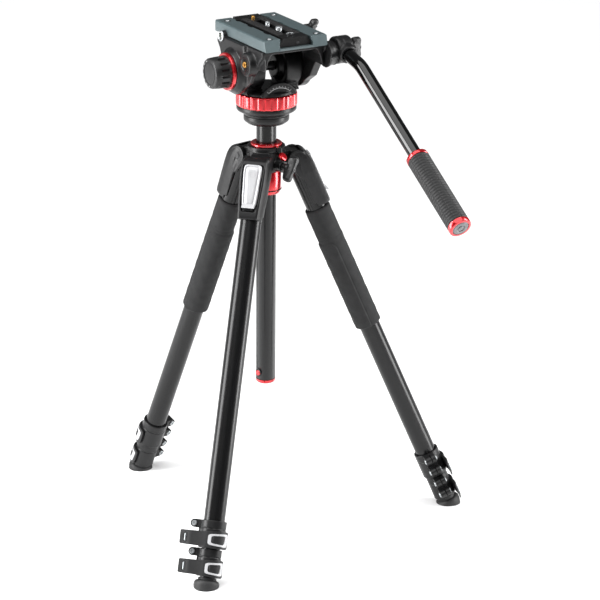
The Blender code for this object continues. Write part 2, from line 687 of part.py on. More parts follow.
def pan_bar(tilt):
    """The bar and its clamp, on a rosette at the operator's end of the head's right side."""
    pivot_z = BAR_PIVOT[1] - TILT_Z
    joint = empty("axis_pan_bar", tilt, Matrix.Translation((0.0, BAR_PIVOT[0], pivot_z)))
    start, bend, end = (0.0150, 0.0067), (-0.0535, -0.0097), (-0.3130, -0.1677)
    clamp_z = 0.0015
    bend_radius = 0.060
    first = Vector((bend[0] - start[0], bend[1] - start[1])).normalized()
    second = Vector((end[0] - bend[0], end[1] - bend[1])).normalized()
    corner = Vector(bend)
    reach = bend_radius * (first.angle(second) / 2)
    route = [Vector(start), corner - first * reach]
    steps = 5
    for i in range(1, steps):
        t = i / steps
        a = corner - first * reach
        b = corner + second * reach
        route.append(a * (1 - t) ** 2 + corner * (2 * t * (1 - t)) + b * t ** 2)
    route += [corner + second * reach, Vector(end)]

    def ring(centre, direction, radius, count):
        """A circle round the route, square to it."""
        normal = Vector((-direction.y, direction.x))
        points = []
        for i in range(count):
            angle = 2 * pi * i / count
            side = centre + normal * (radius * sin(angle))
            points.append((BAR_X + radius * cos(angle), side.x, side.y))
        return points

    def swept(points, radius, count):
        rings = []
        for i, point in enumerate(points):
            before, after = points[max(i - 1, 0)], points[min(i + 1, len(points) - 1)]
            rings.append(ring(point, (after - before).normalized(), radius, count))
        return rings

    add("pan_bar", rings_mesh(swept(route, BAR_R, 14)), "black_tube", joint)

    low, high = CLAMP_X
    edge = 0.0030
    profile = [(CLAMP_R - edge, low), (CLAMP_R, low + edge), (CLAMP_R, high - edge), (CLAMP_R - edge, high)]
    clamp = add("pan_bar_clamp", turned(profile, 24), "black_casting", joint, along_x(0.0, 0.0, clamp_z))
    run = [Vector(start) - first * 0.05, Vector(start), corner - first * reach]
    hole = helper("clamp_bore", rings_mesh(swept(run, BAR_R + GAP, 14)), joint)
    combine(clamp, "DIFFERENCE", hole)

    knob_joint = empty("axis_clamp_knob", joint, along_x(CLAMP_X[1] + GAP, 0.0, clamp_z))
    wing = [
        at_height(stadium(0.0100, 0.0055), 0.0035),
        at_height(stadium(0.0150, 0.0062, 0.1), 0.0060),
        at_height(stadium(0.0150, 0.0052, 0.2), 0.0150),
        at_height(stadium(0.0130, 0.0040, 0.2), 0.0172),
    ]
    knob = add("clamp_knob", rings_mesh(wing), "black_plastic", knob_joint)
    combine(knob, "UNION", helper("clamp_stem", turned([(0.0050, 0.0), (0.0050, 0.0045)], 12), knob_joint))

    length, tail = 0.1340, 0.0030
    grip_end = Vector(end) + second * tail
    grip_top = grip_end - second * length
    rings = [
        ring(grip_top, second, GRIP_R - 0.0012, 18),
        ring(grip_top + second * 0.0012, second, GRIP_R, 18),
        ring(grip_end - second * 0.0020, second, GRIP_R, 18),
        ring(grip_end, second, GRIP_R - 0.0020, 18),
    ]
    grip = add("pan_bar_grip", rings_mesh(rings), "rubber", joint)
    core = [grip_top - second * 0.01, Vector(end) + second * GAP]
    combine(grip, "DIFFERENCE", helper("grip_bore", rings_mesh(swept(core, BAR_R + GAP, 18)), joint))


def build_head(column_joint):
    head_base(column_joint)
    pan = empty("axis_pan", column_joint, Matrix.Identity(4))
    pan_housing(pan)
    tilt = empty("axis_tilt", pan, Matrix.Translation((0.0, 0.0, TILT_Z)))
    tilt_frame(tilt)
    drag_knob(tilt)
    tilt_lock(tilt)
    web = cradle(tilt)
    sliding_plate(tilt, web)
    plate_lock(tilt)
    pan_bar(tilt)


for old in list(bpy.data.objects):
    bpy.data.objects.remove(old, do_unlink=True)
MADE = make_materials()
ROOT = empty("column_axis", None, Matrix.Translation((*COLUMN_AXIS, 0.0)))
for leg_side, leg_azimuth in LEG_AZIMUTHS.items():
    build_leg(leg_side, leg_azimuth)
spider()
column_rings()
column_lock()
build_head(column())
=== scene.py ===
"""Looks of an aluminium tripod with a fluid head.

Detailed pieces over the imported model, then the floor, light and camera. Metres, in the model's own frame.
Joint positions come from the record, and each group of pieces is built in the frame of its joint.
"""

import json
from math import atan2, cos, pi, radians, sin

import bmesh
import bpy
from mathutils import Matrix, Vector


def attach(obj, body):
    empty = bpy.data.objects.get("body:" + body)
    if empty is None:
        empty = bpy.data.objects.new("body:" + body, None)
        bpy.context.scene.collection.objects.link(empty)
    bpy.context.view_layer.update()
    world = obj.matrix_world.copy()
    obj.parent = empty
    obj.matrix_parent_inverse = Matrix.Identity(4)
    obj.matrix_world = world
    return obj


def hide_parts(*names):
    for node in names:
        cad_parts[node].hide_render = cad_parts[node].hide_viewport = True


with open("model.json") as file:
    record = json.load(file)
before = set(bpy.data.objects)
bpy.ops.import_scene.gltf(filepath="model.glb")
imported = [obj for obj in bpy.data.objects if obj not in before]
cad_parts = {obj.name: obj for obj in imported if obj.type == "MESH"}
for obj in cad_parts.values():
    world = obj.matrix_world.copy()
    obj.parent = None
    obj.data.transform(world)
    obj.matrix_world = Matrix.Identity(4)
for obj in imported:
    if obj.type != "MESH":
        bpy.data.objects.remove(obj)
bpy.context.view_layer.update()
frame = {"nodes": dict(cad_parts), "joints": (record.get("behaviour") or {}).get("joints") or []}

JOINTS = {joint["name"]: joint for joint in frame["joints"]}
SIDES = ("front", "right", "left")
COLUMN = Vector((*JOINTS["pan"]["pos_m"][:2], 0.0))
TILT_Z = JOINTS["tilt"]["pos_m"][2]

UPPER_R, MIDDLE_R, LOWER_R, WALL = 0.0146, 0.0125, 0.0105, 0.0014
FOAM_R, FOAM_TOP, FOAM_END, FOAM_BAND = 0.0195, -0.081, -0.273, -0.127
COLUMN_R = 0.0138
CRADLE_HALF, CRADLE_NEAR, CRADLE_FAR = 0.0475, -0.0846, 0.0604

# ---- shapes ---------------------------------------------------------------------------------------
# A solid is (points, faces). A piece's mesh is one or more closed solids.


def solid(rings, hollow=False):
    """Joins a row of rings with the same number of points; a hollow row goes round, a plain one is capped."""
    count = len(rings[0])
    points = [Vector(point) for ring in rings for point in ring]
    faces = []
    rows = len(rings)
    for row in range(rows if hollow else rows - 1):
        a, b = row * count, (row + 1) % rows * count
        for i in range(count):
            j = (i + 1) % count
            faces.append((a + i, a + j, b + j, b + i))
    if not hollow:
        faces.append(tuple(range(count - 1, -1, -1)))
        faces.append(tuple(range((rows - 1) * count, rows * count)))
    return points, faces


def circle(radius, z, count):
    return [(radius * cos(2 * pi * i / count), radius * sin(2 * pi * i / count), z) for i in range(count)]


def turned(profile, count=56, hollow=False):
    """A solid turned round Z from (radius, z) pairs."""
    return solid([circle(radius, z, count) for radius, z in profile], hollow)


def squarish(power, count):
    """A circle's points pushed out towards a square: pairs from -1 to 1."""
    pairs = []
    for i in range(count):
        c, n = cos(2 * pi * i / count), sin(2 * pi * i / count)
        pairs.append((abs(c) ** power * (1 if c >= 0 else -1), abs(n) ** power * (1 if n >= 0 else -1)))
    return pairs


def at(outline, z):
    return [(x, y, z) for x, y in outline]


def prism(outline, low, high):
    return solid([at(outline, low), at(outline, high)])


def mirrored(points, sign):
    """Flips a two-dimensional outline across its first axis where sign is -1."""
    return [(x * sign, other) for x, other in points]


def block(low, high):
    return prism([
        (low[0], low[1]), (high[0], low[1]), (high[0], high[1]), (low[0], high[1])
    ], low[2], high[2])


def arc(centre, radius, start, end, steps):
    angles = [radians(start + (end - start) * i / steps) for i in range(steps + 1)]
    return [(centre[0] + radius * cos(a), centre[1] + radius * sin(a)) for a in angles]


def rounded(x0, y0, x1, y1, radius, steps=4):
    """A rectangle with round corners."""
    points = []
    for cx, cy, start in ((x1, y1, 0), (x0, y1, 90), (x0, y0, 180), (x1, y0, 270)):
        inner = (cx - radius if cx == x1 else cx + radius, cy - radius if cy == y1 else cy + radius)
        points += arc(inner, radius, start, start + 90, steps)
    return points


def inset(outline, amount):
    """Moves a convex outline's edges inwards."""
    count = len(outline)
    moved = []
    for i in range(count):
        before, here, after = Vector(outline[i - 1]), Vector(outline[i]), Vector(outline[(i + 1) % count])
        first, second = (here - before).normalized(), (after - here).normalized()
        bisector = Vector((-(first.y + second.y), first.x + second.x)).normalized()
        lean = max(bisector.dot(Vector((-first.y, first.x))), 0.3)
        moved.append(tuple(here + bisector * (amount / lean)))
    return moved


def relief(outline, steps):
    """A plate with a stepped top: (inset, height) from the back of the plate to its last face."""
    return solid([at(inset(outline, amount) if amount else outline, height) for amount, height in steps])


def swept(route, radius, count=32):
    """A round bar along a route in a plane across x; radius may be a list with one value for each point."""
    rings = []
    for i, point in enumerate(route):
        before, after = route[max(i - 1, 0)], route[min(i + 1, len(route) - 1)]
        ahead = (Vector(after) - Vector(before)).normalized()
        side = Vector((1.0, 0.0, 0.0))
        up = ahead.cross(side).normalized()
        r = radius[i] if isinstance(radius, list) else radius
        ring = []
        for k in range(count):
            angle = 2 * pi * k / count
            ring.append(Vector(point) + side * (r * cos(angle)) + up * (r * sin(angle)))
        rings.append(ring)
    return solid(rings)


def placed(shape, matrix):
    points, faces = shape
    return [matrix @ point for point in points], faces


def linked(name, data):
    """A new object in the scene's own collection."""
    made = bpy.data.objects.new(name, data)
    bpy.context.scene.collection.objects.link(made)
    return made


def mesh_of(name, solids):
    bm = bmesh.new()
    for points, faces in solids:
        verts = [bm.verts.new(point) for point in points]
        made = [bm.faces.new([verts[i] for i in face]) for face in faces]
        bmesh.ops.recalc_face_normals(bm, faces=made)
    mesh = bpy.data.meshes.new(name)
    bm.to_mesh(mesh)
    bm.free()
    return mesh


def turn(axis, degrees):
    return Matrix.Rotation(radians(degrees), 4, axis)


SIDEWAYS = turn("Y", 90)            # puts a shape built round Z on +X


def shift(x=0.0, y=0.0, z=0.0):
    return Matrix.Translation((x, y, z))


def along_x(x=0.0, y=0.0, z=0.0):
    """Puts a shape built round Z on an axis along +X through a point."""
    return shift(x, y, z) @ SIDEWAYS


def finish_piece(piece, body, material, cad=(), sharp=36.0):
    """Gives a piece its material, its place in the assembly and the nodes that it stands for."""
    piece.data.materials.clear()
    piece.data.materials.append(LOOKS[material])
    piece.data.shade_smooth()
    if sharp:
        piece.data.set_sharp_from_angle(angle=radians(sharp))
    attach(piece, body)
    if cad:
        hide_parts(*cad)
    return piece


def piece(name, solids, body, material, place=Matrix.Identity(4), bevel=0.0, cad=(), sharp=36.0):
    """A crisp piece. Its edges are rounded by bevel."""
    made = linked(name, mesh_of(name, solids))
    made.matrix_world = place
    if bevel:
        rounding = made.modifiers.new("edges", "BEVEL")
        rounding.width = bevel
        rounding.segments = 3
        rounding.limit_method = "ANGLE"
        rounding.angle_limit = radians(28)
        rounding.harden_normals = True
    return finish_piece(made, body, material, cad, sharp)


def casting(name, solids, cuts, body, material, place, voxel=0.0009, softness=6, cad=()):
    """A cast or moulded piece: solids joined, cuts taken out, and every edge softened."""
    made = linked(name, mesh_of(name, solids))
    cutters = []
    for number, cut in enumerate(cuts):
        cutters.append(linked(f"{name}_cut_{number}", mesh_of("cut", [cut])))
        boolean = made.modifiers.new("cut", "BOOLEAN")
        boolean.operation = "DIFFERENCE"
        boolean.solver = "EXACT"
        boolean.use_self = True
        boolean.object = cutters[-1]
    remesh = made.modifiers.new("skin", "REMESH")
    remesh.mode = "VOXEL"
    remesh.voxel_size = voxel
    smooth = made.modifiers.new("soften", "SMOOTH")
    smooth.factor = 0.5
    smooth.iterations = softness
    bpy.context.view_layer.update()
    evaluated = made.evaluated_get(bpy.context.evaluated_depsgraph_get())
    mesh = bpy.data.meshes.new_from_object(evaluated)
    made.modifiers.clear()
    made.data = mesh
    mesh.name = name
    for cutter in cutters:
        bpy.data.objects.remove(cutter)
    made.matrix_world = place
    return finish_piece(made, body, material, cad, sharp=0.0)


# ---- materials ------------------------------------------------------------------------------------


def surface(
    name, colour, rough, metallic=0.0, grain=900.0, bump=0.1, spread=0.12, stretch=(1, 1, 1), wear=0.0,
    depth=0.0002, cells=False, coat=0.0, gloss=0.5
):
    """A procedural surface: mottled colour and roughness, a fine relief, and paler worn edges."""
    look = bpy.data.materials.new(name)
    look.use_nodes = True
    nodes, links = look.node_tree.nodes, look.node_tree.links
    shader = nodes["Principled BSDF"]
    shader.inputs["Metallic"].default_value = metallic
    shader.inputs["Specular IOR Level"].default_value = gloss
    shader.inputs["Coat Weight"].default_value = coat
    shader.inputs["Coat Roughness"].default_value = 0.08
    place = nodes.new("ShaderNodeTexCoord")
    scale = nodes.new("ShaderNodeMapping")
    scale.inputs["Scale"].default_value = stretch
    links.new(place.outputs["Object"], scale.inputs["Vector"])

    def noise(size, detail):
        made = nodes.new("ShaderNodeTexNoise")
        made.inputs["Scale"].default_value = size
        made.inputs["Detail"].default_value = detail
        made.inputs["Roughness"].default_value = 0.6
        links.new(scale.outputs["Vector"], made.inputs["Vector"])
        return made.outputs["Fac"]

    def ranged(value, low, high, start=0.3, end=0.7):
        made = nodes.new("ShaderNodeMapRange")
        made.inputs["From Min"].default_value = start
        made.inputs["From Max"].default_value = end
        made.inputs["To Min"].default_value = low
        made.inputs["To Max"].default_value = high
        links.new(value, made.inputs["Value"])
        return made.outputs["Result"]

    def mixed(factor, first, second):
        made = nodes.new("ShaderNodeMix")
        made.data_type = "RGBA"
        links.new(factor, made.inputs["Factor"])
        for socket, value in (("A", first), ("B", second)):
            target = [s for s in made.inputs if s.name == socket and s.type == "RGBA"][0]
            if isinstance(value, tuple):
                target.default_value = (*value, 1.0)
            else:
                links.new(value, target)
        return [s for s in made.outputs if s.type == "RGBA"][0]

    fine, broad = noise(grain, 3.0), noise(grain / 14, 4.0)
    dark = tuple(c * (1 - spread) for c in colour)
    light = tuple(min(c * (1 + spread), 1.0) for c in colour)
    tint = mixed(ranged(broad, 0.0, 1.0), dark, light)
    if wear:
        edge = nodes.new("ShaderNodeNewGeometry")
        worn = tuple(min(c + wear, 1.0) for c in colour)
        tint = mixed(ranged(edge.outputs["Pointiness"], 0.0, 0.55, 0.53, 0.66), tint, worn)
    links.new(tint, shader.inputs["Base Color"])
    links.new(ranged(fine, rough * 0.88, rough * 1.12), shader.inputs["Roughness"])
    height = fine
    if cells:
        pores = nodes.new("ShaderNodeTexVoronoi")
        pores.inputs["Scale"].default_value = grain
        links.new(scale.outputs["Vector"], pores.inputs["Vector"])
        height = pores.outputs["Distance"]
    relief_node = nodes.new("ShaderNodeBump")
    relief_node.inputs["Strength"].default_value = bump
    relief_node.inputs["Distance"].default_value = depth
    links.new(height, relief_node.inputs["Height"])
    links.new(relief_node.outputs["Normal"], shader.inputs["Normal"])
    return look


DRAWN = (1.0, 1.0, 0.02)            # for tubes drawn along their own z
LOOKS = {
    "tube": surface(
        "black_drawn_tube", (0.004, 0.004, 0.0043), 0.25, 0.0, 1400, 0.08, 0.15, DRAWN, depth=0.0001,
        gloss=0.3
    ),
    "cast": surface(
        "black_fine_casting", (0.007, 0.007, 0.0074), 0.34, 0.0, 1500, 0.22, 0.16, wear=0.012, gloss=0.3
    ),
    "dark_cast": surface(
        "black_deep_casting", (0.003, 0.003, 0.0032), 0.36, 0.0, 1500, 0.2, 0.16, gloss=0.22
    ),
    "plastic": surface(
        "dark_moulded_plastic", (0.012, 0.012, 0.0124), 0.38, 0.0, 1100, 0.2, 0.12, wear=0.015, gloss=0.34
    ),
    "gloss": surface(
        "black_gloss_bar", (0.0015, 0.0015, 0.0016), 0.08, 0.0, 700, 0.03, 0.1, depth=0.0001, gloss=0.5
    ),
    "lever": surface("bright_satin_lever", (0.44, 0.44, 0.45), 0.32, 0.3, 1300, 0.06, 0.04),
    "frame": surface("pale_lever_frame", (0.46, 0.46, 0.47), 0.34, 0.15, 1300, 0.06, 0.05),
    "steel": surface("turned_steel", (0.4, 0.42, 0.43), 0.32, 0.8, 1200, 0.03, 0.08),
    "dark_steel": surface("blackened_steel", (0.014, 0.014, 0.015), 0.32, 0.3, 1200, 0.15, 0.1),
    "brass": surface("yellow_brass", (0.62, 0.33, 0.08), 0.32, 0.8, 1000, 0.03, 0.1),
    "red": surface("red_anodised", (0.5, 0.002, 0.008), 0.22, 0.65, 1100, 0.02, 0.06, wear=0.03, coat=0.8),
    "teal": surface("grey_teal_anodised", (0.074, 0.102, 0.108), 0.34, 0.3, 1500, 0.16, 0.07, wear=0.06),
    "foam": surface(
        "dark_foam", (0.019, 0.019, 0.0195), 0.8, 0.0, 1300, 0.55, 0.14, depth=0.0005, cells=True, gloss=0.22
    ),
    "rubber": surface(
        "dark_rubber", (0.018, 0.018, 0.0185), 0.56, 0.0, 900, 0.35, 0.12, depth=0.0003, gloss=0.35
    ),
    "white": surface("pale_print", (0.36, 0.36, 0.36), 0.5, 0.0, 900, 0.08, 0.05),
    "glass": surface("dark_vial", (0.02, 0.025, 0.015), 0.1, 0.0, 500, 0.03, 0.12, coat=0.8),
    "grey_cap": surface("grey_end_cap", (0.15, 0.15, 0.155), 0.4, 0.3, 900, 0.12, 0.08),
}

# ---- camera ---------------------------------------------------------------------------------------

CAMERA_DISTANCE, CAMERA_HEIGHT, CAMERA_AZIMUTH = 4.8974, 1.9334, -29.0
CAMERA_LENS = 221.0                          # mm, on a sensor 36 mm wide
CAMERA_YAW, CAMERA_DOWN, CAMERA_ROLL = -0.5594, 18.1686, 0.3529    # degrees off the line to the column


def make_camera():
    data = bpy.data.cameras.new("camera")
    data.lens, data.sensor_width = CAMERA_LENS, 36.0
    data.clip_start, data.clip_end = 0.1, 60.0
    camera = linked("camera", data)
    spot = COLUMN + Vector((
        CAMERA_DISTANCE * sin(radians(CAMERA_AZIMUTH)),
        -CAMERA_DISTANCE * cos(radians(CAMERA_AZIMUTH)),
        CAMERA_HEIGHT,
    ))
    heading = turn("Z", CAMERA_AZIMUTH + CAMERA_YAW)
    camera.matrix_world = Matrix.Translation(spot) @ heading @ turn(
        "X", 90 - CAMERA_DOWN
    ) @ turn("Z", CAMERA_ROLL)
    bpy.context.scene.camera = camera


make_camera()

# ---- legs -----------------------------------------------------------------------------------------
# A leg's frame: origin on the hinge pin, x along the pin to the clamp screws' side, y outwards, z up the leg.


def leg_frame(side):
    hinge = JOINTS[f"leg_spread_{side}"]
    x = Vector(hinge["axis"]).normalized()
    z = -Vector(JOINTS[f"middle_slide_{side}"]["axis"]).normalized()
    y = z.cross(x)
    place = Matrix((x, y, z)).transposed().to_4x4()
    place.translation = Vector(hinge["pos_m"])
    return place


def make_bracket(side, place):
    body = f"leg_{side}"

    def section(half, z, drop=0.0):
        right = [
            (half, 0.0008), (half, 0.0085 - drop * 0.5), (half - 0.0008, 0.0138 - drop),
            (half - 0.0026, 0.0192 - drop), (half - 0.0046, 0.0204 - drop), (half - 0.0052, 0.0202 - drop)
        ]
        return at(right + [(-x, y) for x, y in reversed(right)], z)

    saddle = solid([
        section(0.016, -0.077, 0.0006), section(0.0166, -0.073), section(0.02, -0.024),
        section(0.0201, -0.01), section(0.0199, -0.003, 0.001), section(0.0195, 0.003, 0.0032),
        section(0.019, 0.0075, 0.0066), section(0.0182, 0.0098, 0.0105),
    ])
    ears = []
    for sign in (1, -1):
        outline = arc((0, 0), 0.013, 70, 290, 20) + [(0.026, -0.007), (0.033, 0.008), (0.01, 0.0135)]
        ears.append(placed(prism(outline, *sorted((sign * 0.0124, sign * 0.0186))), SIDEWAYS))
        rib = [
            (0.015, -0.071), (0.0164, -0.071), (0.0186, -0.045), (0.0196, -0.02), (0.019, -0.008),
            (0.015, -0.008)
        ]
        flat = prism(mirrored(rib, sign), -0.0095, 0.004)
        ears.append(placed(flat, turn("X", 90)))
    bore = turned([(UPPER_R + 0.0002, -0.09), (UPPER_R + 0.0002, -0.016)], 40)
    slot = placed(turned([(0.0136, -0.0123), (0.0136, 0.0123)], 40), SIDEWAYS)
    pocket = placed(prism([
        (-0.0146, -0.002), (-0.0142, -0.023), (-0.0118, -0.058), (-0.0096, -0.0668), (0.0096, -0.0668),
        (0.0118, -0.058), (0.0142, -0.023), (0.0146, -0.002)
    ], -0.03, -0.0168), turn("X", 90))
    casting(
        f"bracket_casting_{side}", [saddle, *ears], [bore, slot, pocket], body, "cast", place, 0.0008, 5,
        cad=[f"leg_bracket_{side}"]
    )
    caps = []
    for sign in (1, -1):
        cap = turned([
            (0.0056, 0.017), (0.0056, 0.0186), (0.005, 0.0192), (0.0028, 0.0192), (0.0025, 0.0178)
        ], 32)
        caps.append(placed(cap, turn("Y", 90 * sign)))
    piece(f"pivot_caps_{side}", caps, body, "dark_steel", place)
    ledge = block((-0.0068, 0.0166, -0.0655), (0.0068, 0.0182, -0.06))
    piece(f"bracket_ledge_{side}", [ledge], body, "dark_cast", place, bevel=0.0005)
    screw = placed(
        turned([(0.003, 0.0), (0.003, 0.0006), (0.0022, 0.001)], 24), shift(0, 0.009, 0.0045) @ turn("X", -60)
    )
    piece(f"bracket_screw_{side}", [screw], body, "dark_steel", place)


def make_angle_lever(side, place):
    def loop(edge, y):
        """A squarish outline that narrows downwards, drawn in by edge."""
        middle, reach = -0.0313, 0.0297 - edge
        return [(u * (0.0117 + 0.0017 * v - edge), y, middle + v * reach) for u, v in squarish(0.3, 64)]

    plate = solid([
        loop(0.0006, 0.0171), loop(0.0, 0.0176), loop(0.0, 0.0204), loop(0.0008, 0.0212),
        loop(0.0022, 0.0212), loop(0.0028, 0.0206), loop(0.0042, 0.0206), loop(0.0048, 0.0211),
        loop(0.0075, 0.0212), loop(0.01, 0.0212),
    ])
    towards = Matrix(((1, 0, 0, 0), (0, 0, 1, 0), (0, -1, 0, 0), (0, 0, 0, 1)))
    lip = [
        (0.0172, -0.0555), (0.0208, -0.0555), (0.023, -0.059), (0.0246, -0.0614), (0.024, -0.0622),
        (0.0205, -0.0608), (0.0172, -0.06)
    ]
    lip_ring = placed(prism(lip, -0.0088, 0.0088), Matrix((
        (0, 0, 1, 0), (1, 0, 0, 0), (0, 1, 0, 0), (0, 0, 0, 1)
    )))
    badge = placed(turned([
        (0.004, 0.0209), (0.004, 0.0215), (0.0034, 0.0215), (0.0034, 0.0209)
    ], 40, True), shift(0, 0, -0.015) @ towards)
    pip = placed(turned([(0.0008, 0.0209), (0.0008, 0.0215)], 16), shift(0, 0, -0.05) @ towards)
    piece(
        f"angle_lever_plate_{side}", [plate, lip_ring, badge, pip], f"angle_lever_{side}", "lever", place,
        cad=[f"angle_lever_{side}"], sharp=50.0
    )


def make_tubes(side, place):
    for section, body, radius, start, end in (
        ("upper", f"leg_{side}", UPPER_R, 0.018, 0.503),
        ("middle", f"leg_middle_{side}", MIDDLE_R, 0.1, 0.5415),
        ("lower", f"leg_lower_{side}", LOWER_R, 0.13, 0.573)
    ):
        inner = radius - WALL
        profile = [
            (radius - 0.0003, -end), (radius, -end + 0.0004), (radius, -start - 0.0004),
            (radius - 0.0003, -start), (inner, -start), (inner, -end)
        ]
        piece(
            f"{section}_tube_skin_{side}", [turned(profile, 72, True)], body, "tube", place,
            cad=[f"{section}_tube_{side}"]
        )


def make_foam(side, place):
    """A foam grip with a thinner band at its top and a raised panel with a round corner along its length."""
    columns, rows = 160, 150
    panel_top, panel_edge = -0.133, radians(96.5)
    inner, corner = UPPER_R + 0.0002, 0.012
    rings = [circle(inner, FOAM_TOP, columns)]
    for row in range(rows + 1):
        z = FOAM_TOP + (FOAM_END - FOAM_TOP) * row / rows
        ring = []
        for i in range(columns):
            angle = 2 * pi * i / columns
            off = (angle + radians(94.5) + pi) % (2 * pi) - pi
            base = FOAM_R - 0.0014 * min(max((z - FOAM_BAND) / 0.0012 + 0.5, 0.0), 1.0)
            # Signed distance into the panel, in metres, with a round upper corner.
            across = (panel_edge - abs(off)) * FOAM_R
            along = panel_top - z
            if across < corner and along < corner:
                inside = corner - ((corner - across) ** 2 + (corner - along) ** 2) ** 0.5
            else:
                inside = min(across, along)
            base -= 0.0012 * min(max(0.5 - inside / 0.002, 0.0), 1.0) * (z < FOAM_BAND)
            groove = max(0.0, 1 - abs(inside) / 0.0015) * (z < FOAM_BAND)
            base -= 0.0007 * groove
            end = min(z - FOAM_END, FOAM_TOP - z)
            if end < 0.002:
                base -= 0.0016 * (1 - end / 0.002) ** 2
            swell = 0.00012 * sin(7 * angle + 260 * z) + 0.0001 * sin(3 * angle - 410 * z)
            ring.append(((base + swell) * cos(angle), (base + swell) * sin(angle), z))
        rings.append(ring)
    rings.append(circle(inner, FOAM_END, columns))
    grip = piece(
        f"foam_grip_{side}", [solid(rings, hollow=True)], f"leg_{side}", "foam", place,
        cad=[f"foam_sleeve_{side}"], sharp=55.0
    )


CLAMPS = {
    "upper": {
        "span": (0.49, 0.528), "outer": 0.0178, "bore": UPPER_R + 0.0001, "lower_bore": MIDDLE_R + 0.0002,
        "lug_x": 0.0258, "lugs": (-0.4957, -0.5145), "lever_r": 0.0184, "pivot": (0.0262, 0.0186),
        "tab": (0.041, 0.0172), "centre_z": -0.516,
    },
    "lower": {
        "span": (0.529, 0.5665), "outer": 0.0158, "bore": MIDDLE_R + 0.0001, "lower_bore": LOWER_R + 0.0002,
        "lug_x": 0.024, "lugs": (-0.5342, -0.553), "lever_r": 0.0164, "pivot": (0.0244, 0.0168),
        "tab": (0.039, 0.0154), "centre_z": -0.5553,
    },
}


